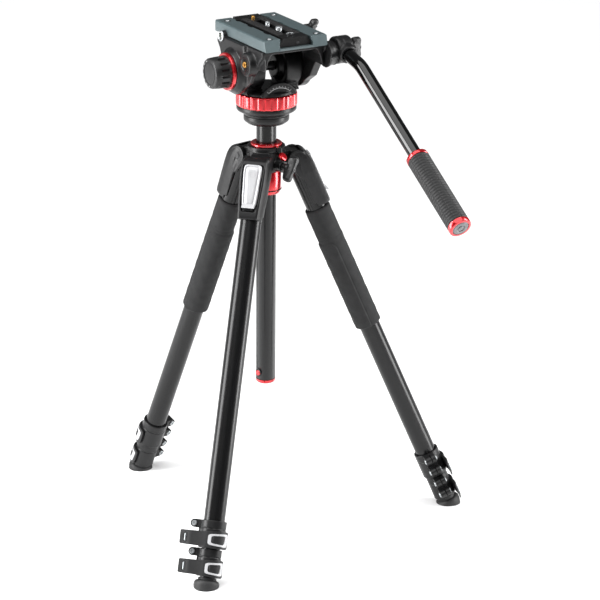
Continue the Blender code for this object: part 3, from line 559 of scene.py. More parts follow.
def make_clamp(
    side, place, level, body, span, outer, bore, lower_bore, lug_x, lugs, lever_r, pivot, tab, centre_z
):
    """A collar round two tubes, its screws, and its flip lever with a pale frame and a silver pin."""
    lever_body = f"{level}_lever_{side}"
    top, bottom = -span[0], -span[1]
    band = turned([
        (outer - 0.0005, bottom), (outer, bottom + 0.0006), (outer, top - 0.012),
        (outer - 0.0006, top - 0.0112), (outer - 0.0006, top - 0.0106), (outer, top - 0.0098),
        (outer, top - 0.0006), (outer - 0.0006, top), (bore, top), (bore, bottom + 0.012),
        (lower_bore, bottom + 0.012), (lower_bore, bottom)
    ], 64, True)
    lug_r = 0.0057
    root = bore + 0.0006
    lug_outline = [(root, lugs[0] + lug_r)] + arc((lug_x, lugs[0]), lug_r, 90, -90, 14)
    lug_outline += [(lug_x - 0.007, lugs[0] - lug_r), (lug_x - 0.007, lugs[1] + lug_r)]
    lug_outline += arc((lug_x, lugs[1]), lug_r, 90, -90, 14) + [(root, lugs[1] - lug_r)]
    lug = placed(prism(lug_outline, -0.0062, -0.0002), turn("X", 90))
    jaw = placed(prism(lug_outline, 0.001, 0.0088), turn("X", 90))
    piece(
        f"{level}_band_{side}", [band, lug, jaw], body, "cast", place, bevel=0.0005,
        cad=[f"{level}_collar_{side}"], sharp=40.0
    )
    # A thin dark strip proud of the band along the slit: painted shade where the slit's gap would be.
    slit_painted_shade = []
    for i in range(13):
        angle, z = radians(30 + 75 * i / 12), top - 0.0075 - 0.0035 * i / 12
        slit_painted_shade.append(
            [(r * cos(angle), r * sin(angle), z + lift) for r, lift in (
                (outer - 0.0004, -0.0004), (outer + 0.00015, -0.0004), (outer + 0.00015, 0.0004),
                (outer - 0.0004, 0.0004)
            )]
        )
    piece(f"{level}_slit_{side}", [solid(slit_painted_shade)], body, "dark_cast", place)
    screws, washers = [], []
    for height in lugs:
        head = turned([
            (0.0037, 0.0), (0.0037, 0.001), (0.0032, 0.0016), (0.0018, 0.0016), (0.0015, 0.0006)
        ], 32)
        washer = turned([(0.004, -0.0003), (0.0046, -0.0003), (0.0046, 0.0003), (0.004, 0.0003)], 40, True)
        for turned_to in (
            shift(lug_x, 0.0061, height) @ turn("X", -90), shift(lug_x, -0.0087, height) @ turn("X", 90)
        ):
            screws.append(placed(head, turned_to))
            washers.append(placed(washer, turned_to))
    piece(f"{level}_screws_{side}", screws, body, "steel", place)
    piece(f"{level}_washers_{side}", washers, body, "dark_cast", place)

    thick = 0.0034
    lever = []
    for angle, half in (
        (186, 0.0088), (183, 0.0106), (177, 0.0116), (168, 0.0121), (150, 0.0122), (132, 0.0119),
        (114, 0.0114), (96, 0.0108), (80, 0.0104), (66, 0.0102)
    ):
        c, n = cos(radians(angle)), sin(radians(angle))
        lever.append(lever_section(
            (lever_r * c, lever_r * n), ((lever_r + thick) * c, (lever_r + thick) * n), centre_z, half
        ))
    for x, below, above, half in (
        (pivot[0] - 0.0035, -0.0014, 0.0024, 0.01), (pivot[0] + 0.001, -0.0014, 0.0017, 0.0099),
        (pivot[0] + 0.006, -0.0016, 0.0009, 0.0099), (tab[0] - 0.002, -0.0012, 0.0004, 0.0097),
        (tab[0] - 0.0003, -0.001, 0.0002, 0.0088), (tab[0], -0.0009, 0.0001, 0.0076)
    ):
        slope = (tab[1] - pivot[1]) * min(max((x - pivot[0]) / (tab[0] - pivot[0]), 0.0), 1.0)
        y = pivot[1] + slope
        lever.append(lever_section((x, y + below), (x, y + above), centre_z, half))
    piece(
        f"{level}_lever_arm_{side}", [solid(lever)], lever_body, "plastic", place, bevel=0.0007,
        cad=[f"{level}_lever_{side}"], sharp=40.0
    )
    skin = lever_r + thick
    rim = [
        skin_loop(skin - 0.0005, 91, 176, 0.0074, 0.0096, 2.5, centre_z),
        skin_loop(skin + 0.0007, 92, 175, 0.0072, 0.0094, 2.5, centre_z),
        skin_loop(skin + 0.0007, 103, 158, 0.005, 0.0066, 2.5, centre_z),
        skin_loop(skin - 0.0005, 104, 157, 0.0048, 0.0064, 2.5, centre_z)
    ]
    piece(f"{level}_lever_frame_{side}", [solid(rim, hollow=True)], lever_body, "frame", place, bevel=0.0002)
    pad = [
        skin_loop(skin - 0.0005, 109, 152, 0.004, 0.0052, 2.0, centre_z),
        skin_loop(skin + 0.0004, 109, 152, 0.004, 0.0052, 2.0, centre_z)
    ]
    pad += [
        skin_loop(
            skin + 0.0008, 130.5 - 20.5 * k, 130.5 + 20.5 * k, 0.0037 * k, 0.0049 * k, 2.0 * k, centre_z
        ) for k in (1.0, 0.8, 0.6, 0.4, 0.2, 0.05)
    ]
    piece(f"{level}_lever_pad_{side}", [solid(pad)], lever_body, "plastic", place)
    middle = ((pivot[0] + tab[0]) / 2 - 0.0012, (pivot[1] + tab[1]) / 2 + 0.0004)
    recess = placed(
        prism(rounded(-0.0025, -0.0066, 0.0025, 0.0066, 0.0024), 0.0, 0.0007),
        shift(middle[0], middle[1], centre_z) @ turn("X", -90)
    )
    piece(f"{level}_slot_{side}", [recess], lever_body, "dark_cast", place)
    pin = placed(turned([
        (0.0008, -0.0053), (0.0014, -0.0048), (0.0014, 0.0048), (0.0008, 0.0053)
    ], 20), shift(middle[0], middle[1] + 0.0008, centre_z))
    piece(f"{level}_pin_{side}", [pin], lever_body, "steel", place)


def lever_section(inner, outer, z, half):
    """The lever's section at one place: an inner and an outer point, and half its height."""
    return [(*inner, z - half), (*outer, z - half), (*outer, z + half), (*inner, z + half)]


def skin_loop(radius, start, end, near, far, slant, z):
    """A squarish loop on a cylinder, taller at its far end and slanted there."""
    loop = []
    for u, v in squarish(0.34, 72):
        angle = radians((start + end) / 2 + u * (end - start) / 2 + slant * v * (u + 1) / 2)
        half = near + (far - near) * (u + 1) / 2
        loop.append((radius * cos(angle), radius * sin(angle), z + v * half))
    return loop


def make_foot(side, place):
    profile = [
        (0.008, -0.5985), (0.0128, -0.5975), (0.0143, -0.593), (0.0167, -0.583), (0.0175, -0.5785),
        (0.0173, -0.5752), (0.016, -0.5724), (0.0142, -0.5713), (0.0128, -0.5709), (0.0126, -0.569),
        (0.0124, -0.5678), (0.0112, -0.5677), (0.0108, -0.57)
    ]
    mesh = mesh_of("boot", [placed(turned(profile, 64), place)])
    bm = bmesh.new()
    bm.from_mesh(mesh)
    everything = bm.verts[:] + bm.edges[:] + bm.faces[:]
    cut = bmesh.ops.bisect_plane(
        bm, geom=everything, plane_co=(0, 0, 0.0002), plane_no=(0, 0, 1), clear_inner=True
    )
    rim = [e for e in cut["geom_cut"] if isinstance(e, bmesh.types.BMEdge)]
    bmesh.ops.holes_fill(bm, edges=rim, sides=0)
    bm.to_mesh(mesh)
    bm.free()
    finish_piece(
        linked(f"rubber_boot_{side}", mesh), f"leg_lower_{side}", "rubber", cad=[f"foot_{side}"], sharp=45.0
    )


for leg_side in SIDES:
    spot = leg_frame(leg_side)
    make_bracket(leg_side, spot)
    make_angle_lever(leg_side, spot)
    make_tubes(leg_side, spot)
    if leg_side != "front":
        make_foam(leg_side, spot)
    for clamp, clamped in (("upper", f"leg_{leg_side}"), ("lower", f"leg_middle_{leg_side}")):
        make_clamp(leg_side, spot, clamp, clamped, **CLAMPS[clamp])
    make_foot(leg_side, spot)
    hinge_pin = frame["nodes"][f"hinge_pin_{leg_side}"].data
    hinge_pin.materials.clear()
    hinge_pin.materials.append(LOOKS["dark_steel"])

# ---- hub and column -------------------------------------------------------------------------------

HUB = Matrix.Translation(COLUMN)


def lobed(radius, z, count=96, lobe=0.035):
    """The column's section: round, with three soft lobes."""
    ring = []
    for i in range(count):
        angle = 2 * pi * i / count
        r = radius * (1 + lobe * cos(3 * angle))
        ring.append((r * cos(angle), r * sin(angle), z))
    return ring


def bored(profile, bore, count=96):
    """A turned ring with the column's section through it."""
    rings = [lobed(bore, profile[0][1], count)]
    rings += [circle(radius, z, count) for radius, z in profile]
    rings.append(lobed(bore, profile[-1][1], count))
    return solid(rings, hollow=True)


def outward(degrees, radius, z, lean=0.0):
    """A frame on an axis that points outwards at an azimuth, leaning up by lean degrees."""
    azimuth = radians(degrees)
    spot = shift(radius * sin(azimuth), -radius * cos(azimuth), z)
    return HUB @ spot @ turn("Z", degrees - 90) @ turn("Y", 90 - lean)


PIN_OUT, PIN_Z = 0.04, 0.5325              # the leg hinges, from the column's axis and the floor
PORT = outward(20.0, 0.024, 0.5345, 42)    # the accessory port
LOCK_AZIMUTH, LOCK_Z = 13.9, 0.527


def make_hub():
    low, high, disc = 0.517, 0.5465, 0.5525
    pins = [Vector(JOINTS[f"leg_spread_{side}"]["pos_m"]) - COLUMN for side in SIDES]
    ring = bored([
        (0.0225, low), (0.024, low + 0.002), (0.024, high - 0.001), (0.0262, high), (0.0262, disc - 0.001),
        (0.0256, disc)
    ], COLUMN_R + 0.0005)
    solids, cuts = [ring], []
    for pin in pins:
        azimuth = atan2(pin.x, -pin.y)
        outline = arc((0, 0), 0.011, -12, 192, 20)
        outline += [(-0.0128, -0.01), (-0.0134, -0.0205), (0.0145, -0.0205), (0.0125, -0.01)]
        spot = shift(PIN_OUT * sin(azimuth), -PIN_OUT * cos(azimuth), PIN_Z)
        place = spot @ Matrix.Rotation(azimuth + pi, 4, "Z") @ turn("Y", 90)
        solids.append(placed(prism(outline, -0.0118, 0.0118), place))
        for sign in (1, -1):
            web = [(-0.004, -0.009), (-0.006, -0.0215), (0.011, -0.0215), (0.009, -0.009)]
            solids.append(placed(prism(web, *sorted((sign * 0.009, sign * 0.0134))), place))
        cuts.append(placed(turned([(0.0043, -0.02), (0.0043, 0.02)], 24), place))
        dish = turned([(0.006, 0.0102), (0.0075, 0.014)], 24)
        cuts.append(placed(dish, place @ shift(-0.004, -0.0135, 0)))
    lock = Matrix.Translation(-COLUMN) @ outward(LOCK_AZIMUTH, 0.0205, LOCK_Z)
    solids.append(placed(turned([(0.009, 0.0), (0.0082, 0.01), (0.0082, 0.015)], 32), lock))
    port = Matrix.Translation(-COLUMN) @ PORT
    solids.append(placed(turned([(0.0068, -0.004), (0.0062, 0.0072)], 32), port))
    casting("hub_casting", solids, cuts, "hub", "cast", HUB, 0.0008, 4, cad=["spider"])
    cap = turned([
        (0.0062, 0.007), (0.0066, 0.0078), (0.0064, 0.0092), (0.0052, 0.0099), (0.003, 0.0102),
        (0.001, 0.0102)
    ], 40)
    piece("hub_port_cap", [cap], "hub", "red", PORT)
    collar = bored([
        (0.0212, 0.5529), (0.0217, 0.5533), (0.0217, 0.5555), (0.02, 0.5567), (0.0176, 0.5566),
        (0.0168, 0.556)
    ], COLUMN_R + 0.0006)
    piece("column_collar_ring", [collar], "hub", "red", HUB, cad=["column_collar"], sharp=50.0)
    marks = []
    for step in range(5):
        place = turn("Z", -118 + step * 7) @ shift(0.0208, 0, 0)
        marks.append(placed(block((-0.0012, -0.0004, 0.5559), (0.0004, 0.0004, 0.55625)), place))
    piece("column_collar_marks", marks, "hub", "white", HUB)
    low = 0.4835
    sleeve = bored([
        (0.0178, low), (0.019, low + 0.0012), (0.0204, low + 0.0048), (0.0204, low + 0.0056),
        (0.0208, low + 0.0075), (0.0208, 0.516), (0.0202, 0.5166)
    ], COLUMN_R + 0.0006)
    piece("hub_sleeve", [sleeve], "hub", "red", HUB, cad=["lower_sleeve"], sharp=50.0)
    band = turned([
        (0.0205, low + 0.0053), (0.0213, low + 0.0056), (0.0214, low + 0.0068), (0.0206, low + 0.0073)
    ], 96, True)
    piece("hub_sleeve_band", [band], "hub", "dark_cast", HUB)
    vial = outward(14.0, 0.0262, 0.549, 90)
    cup = turned([
        (0.0048, -0.002), (0.0048, 0.004), (0.0043, 0.0045), (0.0036, 0.0044), (0.0035, 0.0036)
    ], 36)
    piece("bubble_level_cup", [cup], "hub", "dark_cast", vial)
    lens = turned([(0.0035, 0.003), (0.0034, 0.004), (0.0022, 0.0045), (0.0008, 0.0047)], 36)
    piece("bubble_level_lens", [lens], "hub", "glass", vial)


def wing_knob(name, body, place, angle, stem_r, stem, stations, cad, look="plastic"):
    """A two-winged knob: a stem, and a waisted bar whose ends thicken and round off."""
    rings = []
    for half, width, z, waist in stations:
        right = arc((half - width, 0), width, -80, 80, 12)
        left = arc((width - half, 0), width, 100, 260, 12)
        neck = width * waist
        mid = [(half * 0.35, neck * 1.02), (0.0, neck), (-half * 0.35, neck * 1.02)]
        ring = right + mid + left + [(-x, -y) for x, y in mid]
        rings.append(at(ring, z))
    casting(
        name, [turned(stem, 32), placed(solid(rings), turn("Z", angle))], [], body, look, place, 0.0005, 4,
        cad=cad
    )
    top = stations[-1][2]
    screw = turned([
        (stem_r * 0.62, top - 0.0008), (stem_r * 0.62, top + 0.0004), (stem_r * 0.5, top + 0.0008),
        (stem_r * 0.25, top + 0.0008), (stem_r * 0.2, top + 0.0002)
    ], 24)
    piece(f"{name}_screw", [screw], body, "dark_steel", place)


def make_column():
    low, high = 0.2115, 0.5837
    inner = COLUMN_R - 0.0016
    shaft = solid([
        lobed(COLUMN_R - 0.0003, low), lobed(COLUMN_R, low + 0.0003), lobed(COLUMN_R, high),
        lobed(inner, high), lobed(inner, low)
    ], hollow=True)
    piece("column_tube", [shaft], "column", "tube", HUB, cad=["centre_column"], sharp=60.0)
    cap = solid([
        lobed(COLUMN_R - 0.003, low - 0.0055), lobed(COLUMN_R - 0.001, low - 0.005),
        lobed(COLUMN_R + 0.0001, low - 0.0036), lobed(COLUMN_R + 0.0002, low - 0.0003),
        lobed(inner - 0.0003, low - 0.0003), lobed(inner - 0.0003, low + 0.004)
    ])
    piece("column_foot_cap", [cap], "column", "red", HUB, cad=["column_end_cap"], sharp=50.0)
    centre = outward(-76.0, 0.0, 0.2215)
    button = turned([
        (0.004, 0.0085), (0.004, 0.0146), (0.0036, 0.0153), (0.002, 0.0155), (0.0008, 0.0154)
    ], 32)
    piece("release_button", [button], "column_button", "red", centre, cad=["column_button"])
    eyelet = turned([(0.0041, 0.0138), (0.0054, 0.0137), (0.0054, 0.0142), (0.0041, 0.0146)], 32, True)
    piece("button_eyelet", [eyelet], "column", "dark_cast", centre)
    plate = turned([
        (0.024, 0.584), (0.0262, 0.5842), (0.0306, 0.5876), (0.0315, 0.589), (0.0317, 0.5925),
        (0.0315, 0.5957), (0.031, 0.596)
    ], 96)
    piece("column_top_plate", [plate], "column", "cast", HUB, cad=["column_plate"])
    base = turned([
        (0.031, 0.5963), (0.0314, 0.5966), (0.0316, 0.598), (0.0345, 0.6003), (0.0385, 0.602),
        (0.0407, 0.6033), (0.0415, 0.6046), (0.0415, 0.6092), (0.0408, 0.6101), (0.037, 0.6101),
        (0.037, 0.6284)
    ], 128)
    piece("head_base_turned", [base], "column", "cast", HUB, cad=["head_base"], sharp=50.0)


make_hub()
wing_knob(
    "column_lock_wing", "column_lock", outward(LOCK_AZIMUTH, 0.0358, LOCK_Z), -29, 0.0055,
    [(0.0055, 0.0), (0.0055, 0.006), (0.0078, 0.0085), (0.007, 0.012)],
    [
        (0.011, 0.005, 0.0066, 0.9), (0.018, 0.006, 0.0095, 0.8), (0.0187, 0.0056, 0.015, 0.72),
        (0.0183, 0.0044, 0.0186, 0.7), (0.016, 0.003, 0.0203, 0.7)
    ],
    ["column_lock_knob"]
)
make_column()

# ---- head -----------------------------------------------------------------------------------------

TILT = shift(COLUMN.x, COLUMN.y, TILT_Z)
LEFT_OUT = turn("Y", -90)           # puts a shape built round Z on -X
PORT_DRUM = (0.0, -0.0445, 0.019)
ROSETTE_Y, ROSETTE_Z = -0.075, 0.0285
LEVEL_EYE = shift(-0.0532, 0.032, 0.0419) @ LEFT_OUT


def fluted(radius, depth, flutes, z, per=10):
    """A ring with shallow flutes that have a flat bottom and sloping sides."""
    ring = []
    for i in range(flutes * per):
        phase = (i % per) / per
        dip = 0.0
        if phase < 0.22:
            dip = depth
        elif phase < 0.34:
            dip = depth * max(0.0, 1 - abs(phase - 0.22) / 0.12)
        elif phase > 0.88:
            dip = depth * (phase - 0.88) / 0.12
        angle = 2 * pi * i / (flutes * per)
        ring.append(((radius - dip) * cos(angle), (radius - dip) * sin(angle), z))
    return ring


def make_pan():
    low, high = 0.6104, 0.6283
    flutes = 26
    bore = 0.0376
    count = flutes * 10
    ring = solid([
        circle(bore, low, count), circle(0.0412, low, count), fluted(0.0422, 0.0008, flutes, low + 0.0008),
        fluted(0.0425, 0.0013, flutes, low + 0.0022), fluted(0.0425, 0.0013, flutes, high - 0.0022),
        fluted(0.0422, 0.0008, flutes, high - 0.0008), circle(0.0412, high, count), circle(bore, high, count)
    ], hollow=True)
    piece("pan_drag_ring", [ring], "pan_ring", "red", HUB, cad=["pan_ring"], sharp=48.0)

    low, top = 0.6287, 0.636
    disc = turned([
        (0.0398, low), (0.0405, low + 0.0008), (0.0405, low + 0.0032), (0.0385, low + 0.0056), (0.035, top)
    ], 96)
    solids, drop = [disc], TILT_Z - low - 0.0015
    axle = shift(0, 0, TILT_Z) @ SIDEWAYS
    for sign in (1, -1):
        outline = arc((0, 0), 0.029, 36, 324, 44)
        outline += [(drop - 0.004, -0.018), (drop, -0.0205), (drop, 0.0205), (drop - 0.004, 0.018)]
        ends = sorted((sign * 0.0165, sign * 0.0405))
        solids.append(placed(prism(outline, *ends), axle))
        hub = turned([(0.015, 0.0095), (0.017, 0.0105), (0.02, 0.0155), (0.0215, 0.017)], 48)
        solids.append(placed(hub, shift(0, 0, TILT_Z) @ turn("Y", 90 * sign)))
    lip = [(-0.0275, -0.0015)] + arc((0, -0.016), 0.033, 144, 36, 24) + [(0.0275, -0.0015)]
    front = prism([(x, y - 0.001) for x, y in lip], 0.0325, 0.0362)
    solids.append(placed(front, shift(0, 0, top - 0.004) @ turn("X", 90)))
    cuts = [placed(turned([(0.0062, -0.05), (0.0062, 0.05)], 32), axle)]
    casting("pan_body", solids, cuts, "pan", "dark_cast", HUB, 0.0009, 6, cad=["pan_housing"])
    facing = HUB @ shift(0, -0.0361, top - 0.021) @ turn("X", 90)
    ticks = []
    for step in range(9):
        place = turn("Z", -40 + step * 10) @ shift(0, 0.0285, 0)
        size = 0.0016 if step % 2 == 0 else 0.0009
        ticks.append(placed(block((-0.0003, -size, -0.0002), (0.0003, 0.0, 0.0003)), place))
    piece("pan_scale_ticks", ticks, "pan", "white", facing)
    rim = arc((0, 0), 0.0262, 50, 130, 20) + arc((0, 0), 0.0256, 130, 50, 20)
    piece("pan_scale_line", [prism(rim, -0.0002, 0.0003)], "pan", "white", facing)
    rod = turned([(0.0055, -0.0572), (0.006, -0.0566), (0.006, 0.054), (0.0055, 0.0545)], 40)
    piece("tilt_axle_rod", [placed(rod, SIDEWAYS)], "pan", "dark_steel", TILT, cad=["tilt_axle"])
    knob = turned([
        (0.0036, 0.0), (0.0036, 0.0012), (0.0052, 0.0018), (0.0055, 0.0024), (0.0055, 0.006), (0.0047, 0.007),
        (0.003, 0.0072)
    ], 40)
    piece(
        "pan_lock_button", [knob], "pan_lock", "plastic", outward(218, 0.0408, 0.635), cad=["pan_lock_knob"]
    )


def make_tilt_frame():
    """The fork under the cradle. In a side's outline x is down from the tilt axis and y is forwards."""
    def side(shrink, near=-0.077):
        r = 0.033 - shrink
        far = 0.044
        outline = [
            (-0.0415, near), (-0.0415, far), (-0.033, far), (-0.024, far - 0.0075), (-0.013, far - 0.0115)
        ]
        outline += arc((0, 0), r, 78, -52, 26)
        if near < -0.05:
            outline += [(0.01, -0.0415), (-0.004, -0.051), (-0.018, -0.061), (-0.029, -0.071), (-0.034, near)]
        else:
            outline += [(0.01, near), (-0.015, near)]
        return outline

    solids = [
        block((-0.0465, -0.0778, 0.0372), (0.0465, 0.0458, 0.0422)),
        placed(solid([at(side(0.0015), -0.0492), at(side(0.0), -0.0478), at(side(0.0), -0.044)]), SIDEWAYS),
        placed(solid([
            at(side(0.002, -0.03), -0.0534), at(side(0.0, -0.033), -0.0515), at(side(0.0, -0.036), -0.047)
        ]), SIDEWAYS),
        placed(solid([at(side(0.0), 0.044), at(side(0.0), 0.0545), at(side(0.002), 0.056)]), SIDEWAYS),
        placed(turned([
            (0.0262, -0.06), (0.0285, -0.058), (0.0312, -0.0535), (0.0328, -0.048)
        ], 64), SIDEWAYS),
        placed(turned([
            (0.0148, -0.0588), (0.016, -0.0577), (0.0166, -0.052), (0.0172, -0.046)
        ], 48), along_x(*PORT_DRUM)),
        placed(turned([
            (0.0195, 0.048), (0.0172, 0.054), (0.0165, 0.057), (0.0165, 0.0618)
        ], 48), along_x(0, ROSETTE_Y, ROSETTE_Z)),
        placed(turned([(0.0068, 0.0), (0.0074, -0.008)], 32), LEVEL_EYE),
        block((-0.045, 0.0262, 0.0215), (0.045, 0.0302, 0.038)),
    ]
    for sign in (1, -1):
        fillet = [(0.0445, 0.012), (0.0445, 0.038), (0.034, 0.038), (0.0395, 0.029)]
        flat = prism(mirrored(fillet, sign), 0.025, 0.0775)
        solids.append(placed(flat, turn("X", 90)))
    foot = [(-0.05, -0.011), (-0.044, -0.011), (-0.044, 0.03), (-0.053, 0.03)]
    ridge = solid([[(x, -0.029 - 0.2 * t, z) for x, z in foot] for t in (0.0, 0.02)])
    solids.append(ridge)
    cuts = [
        placed(turned([(0.0063, -0.0575), (0.0063, 0.0548)], 32), SIDEWAYS),
        placed(turned([(0.0092, -0.057), (0.0092, -0.062)], 40), along_x(*PORT_DRUM)),
    ]
    casting("tilt_casting", solids, cuts, "tilt", "cast", TILT, 0.0009, 7, cad=["tilt_frame"])
    port = TILT @ shift(*PORT_DRUM) @ LEFT_OUT
    teeth = []
    for step in range(36):
        place = turn("Z", step * 10)
        teeth.append(placed(prism([
            (0.0104, -0.0004), (0.0142, -0.0006), (0.0142, 0.0006), (0.0104, 0.0004)
        ], 0.058, 0.0588), place))
    piece("port_teeth", teeth, "tilt", "cast", port)
    seat = turned([
        (0.009, 0.0566), (0.009, 0.0572), (0.008, 0.0576), (0.004, 0.0576), (0.004, 0.0566)
    ], 48, True)
    piece("port_seat", [seat], "tilt", "dark_cast", port)
    insert = turned([
        (0.0022, 0.054), (0.004, 0.054), (0.0042, 0.059), (0.0036, 0.0596), (0.0024, 0.0594), (0.0021, 0.058)
    ], 40, True)
    piece("port_insert", [insert], "tilt", "brass", port)
    seam = turned([(0.0163, 0.0), (0.0169, 0.0), (0.0169, 0.0012), (0.0163, 0.0012)], 56, True)
    piece("rosette_band", [seam], "tilt", "dark_cast", TILT @ along_x(0.06, ROSETTE_Y, ROSETTE_Z))
    eye = TILT @ LEVEL_EYE
    ring = turned([
        (0.0044, 0.0), (0.0076, 0.0), (0.0079, 0.0006), (0.0076, 0.0017), (0.0062, 0.0022), (0.0047, 0.0016)
    ], 56, True)
    piece("level_ring", [ring], "tilt", "steel", eye)
    vial = turned([(0.0045, 0.0), (0.0043, 0.0009), (0.0025, 0.0014), (0.0008, 0.0015)], 40)
    piece("level_vial", [vial], "tilt", "glass", eye)


def make_drag_knob():
    start = 0.0603
    out = TILT @ LEFT_OUT
    ring = turned([
        (0.0225, start), (0.0254, start), (0.0261, start + 0.0007), (0.0261, start + 0.0036),
        (0.025, start + 0.0048), (0.0225, start + 0.0048)
    ], 96, True)
    piece("tilt_drag_red_ring", [ring], "tilt_drag", "red", out)
    lobes, per = 15, 16

    def grip(radius, depth, z):
        points = []
        for i in range(lobes * per):
            phase = (i % per) / per
            dip = depth if phase < 0.19 else depth * 0.5 if phase < 0.26 or phase > 0.93 else 0.0
            angle = 2 * pi * i / (lobes * per)
            points.append(((radius - dip) * cos(angle), (radius - dip) * sin(angle), z))
        return points

    knob = solid([
        grip(0.0222, 0.0, start), grip(0.0222, 0.0, start + 0.0056), grip(0.0222, 0.0006, start + 0.0064),
        grip(0.0221, 0.0024, start + 0.0078), grip(0.0219, 0.0024, start + 0.018),
        grip(0.0218, 0.001, start + 0.0192), grip(0.0217, 0.0, start + 0.0196),
        grip(0.0212, 0.0, start + 0.0262), grip(0.0202, 0.0, start + 0.0279),
        grip(0.0188, 0.0, start + 0.0285)
    ])
    piece("tilt_drag_grip", [knob], "tilt_drag", "plastic", out, cad=["tilt_drag_knob"], sharp=50.0)
    # A dark ring on the knob's end face: painted shade where the groove would be.
    groove = turned([
        (0.015, start + 0.0282), (0.0156, start + 0.0282), (0.0156, start + 0.0288), (0.015, start + 0.0288)
    ], 72, True)
    piece("tilt_drag_groove_painted_shade", [groove], "tilt_drag", "dark_cast", out)
    marks = []
    for step in range(7):
        begin = 20 + step * 26
        stop = begin + 14 - step
        strip = arc((0, 0), 0.0171, begin, stop, 8) + arc((0, 0), 0.0178 + step * 0.00006, stop, begin, 8)
        marks.append(prism(strip, start + 0.0282, start + 0.0287))
    piece("tilt_drag_marks", marks, "tilt_drag", "white", out)


def make_cradle():
    """Two thick rails on a thin web. The rails' inner edges are notched and their near ends slope back."""
    low, high = 0.0425, 0.058
    web = low + 0.003

    def rail(sign, y, inner, slope):
        half, edge, undercut = CRADLE_HALF, 0.0016, 0.025
        section = [
            (half, low), (half, high - edge), (half - edge, high), (inner, high), (inner, high - 0.003),
            (undercut, high - 0.0078), (undercut, low)
        ]
        return [(x * sign, y + slope * (z - low) / (high - low), z) for x, z in section]

    rails = []
    for sign in (1, -1):
        slope = 0.0065 if sign < 0 else 0.0025
        rings = [rail(sign, CRADLE_NEAR, 0.0228, slope), rail(sign, CRADLE_NEAR + 0.008, 0.0228, 0.0)]
        for start, end in ((-0.05, -0.033), (-0.004, 0.012), (0.034, 0.046)):
            rings += [
                rail(sign, start, 0.0228, 0.0), rail(sign, start + 0.002, 0.0252, 0.0),
                rail(sign, end - 0.002, 0.0252, 0.0), rail(sign, end, 0.0228, 0.0)
            ]
        rings.append(rail(sign, CRADLE_FAR, 0.0228, 0.0))
        rails.append(solid(rings))
    floor = block((-0.026, CRADLE_NEAR, low), (0.026, CRADLE_FAR, web))
    piece("cradle_rails", [*rails, floor], "tilt", "teal", TILT, bevel=0.0005, cad=["cradle"], sharp=40.0)
    head = turned([
        (0.0034, high - 0.001), (0.0034, high + 0.0002), (0.003, high + 0.0006), (0.0016, high + 0.0005),
        (0.0013, high - 0.0003)
    ], 32)
    # A dark ring round each screw head: painted shade in place of the gap round the head.
    gap_shade_ring = turned([
        (0.0036, high - 0.001), (0.0046, high - 0.001), (0.0046, high + 0.00015), (0.0036, high + 0.00015)
    ], 32, True)
    corners = [shift(x, y, 0) for x in (-0.0362, 0.0362) for y in (-0.073, 0.0455)]
    piece("cradle_screws", [placed(head, corner) for corner in corners], "tilt", "steel", TILT)
    piece("cradle_screw_painted_gap_shade", [placed(gap_shade_ring, corner) for corner in corners], "tilt", "dark_steel", TILT)


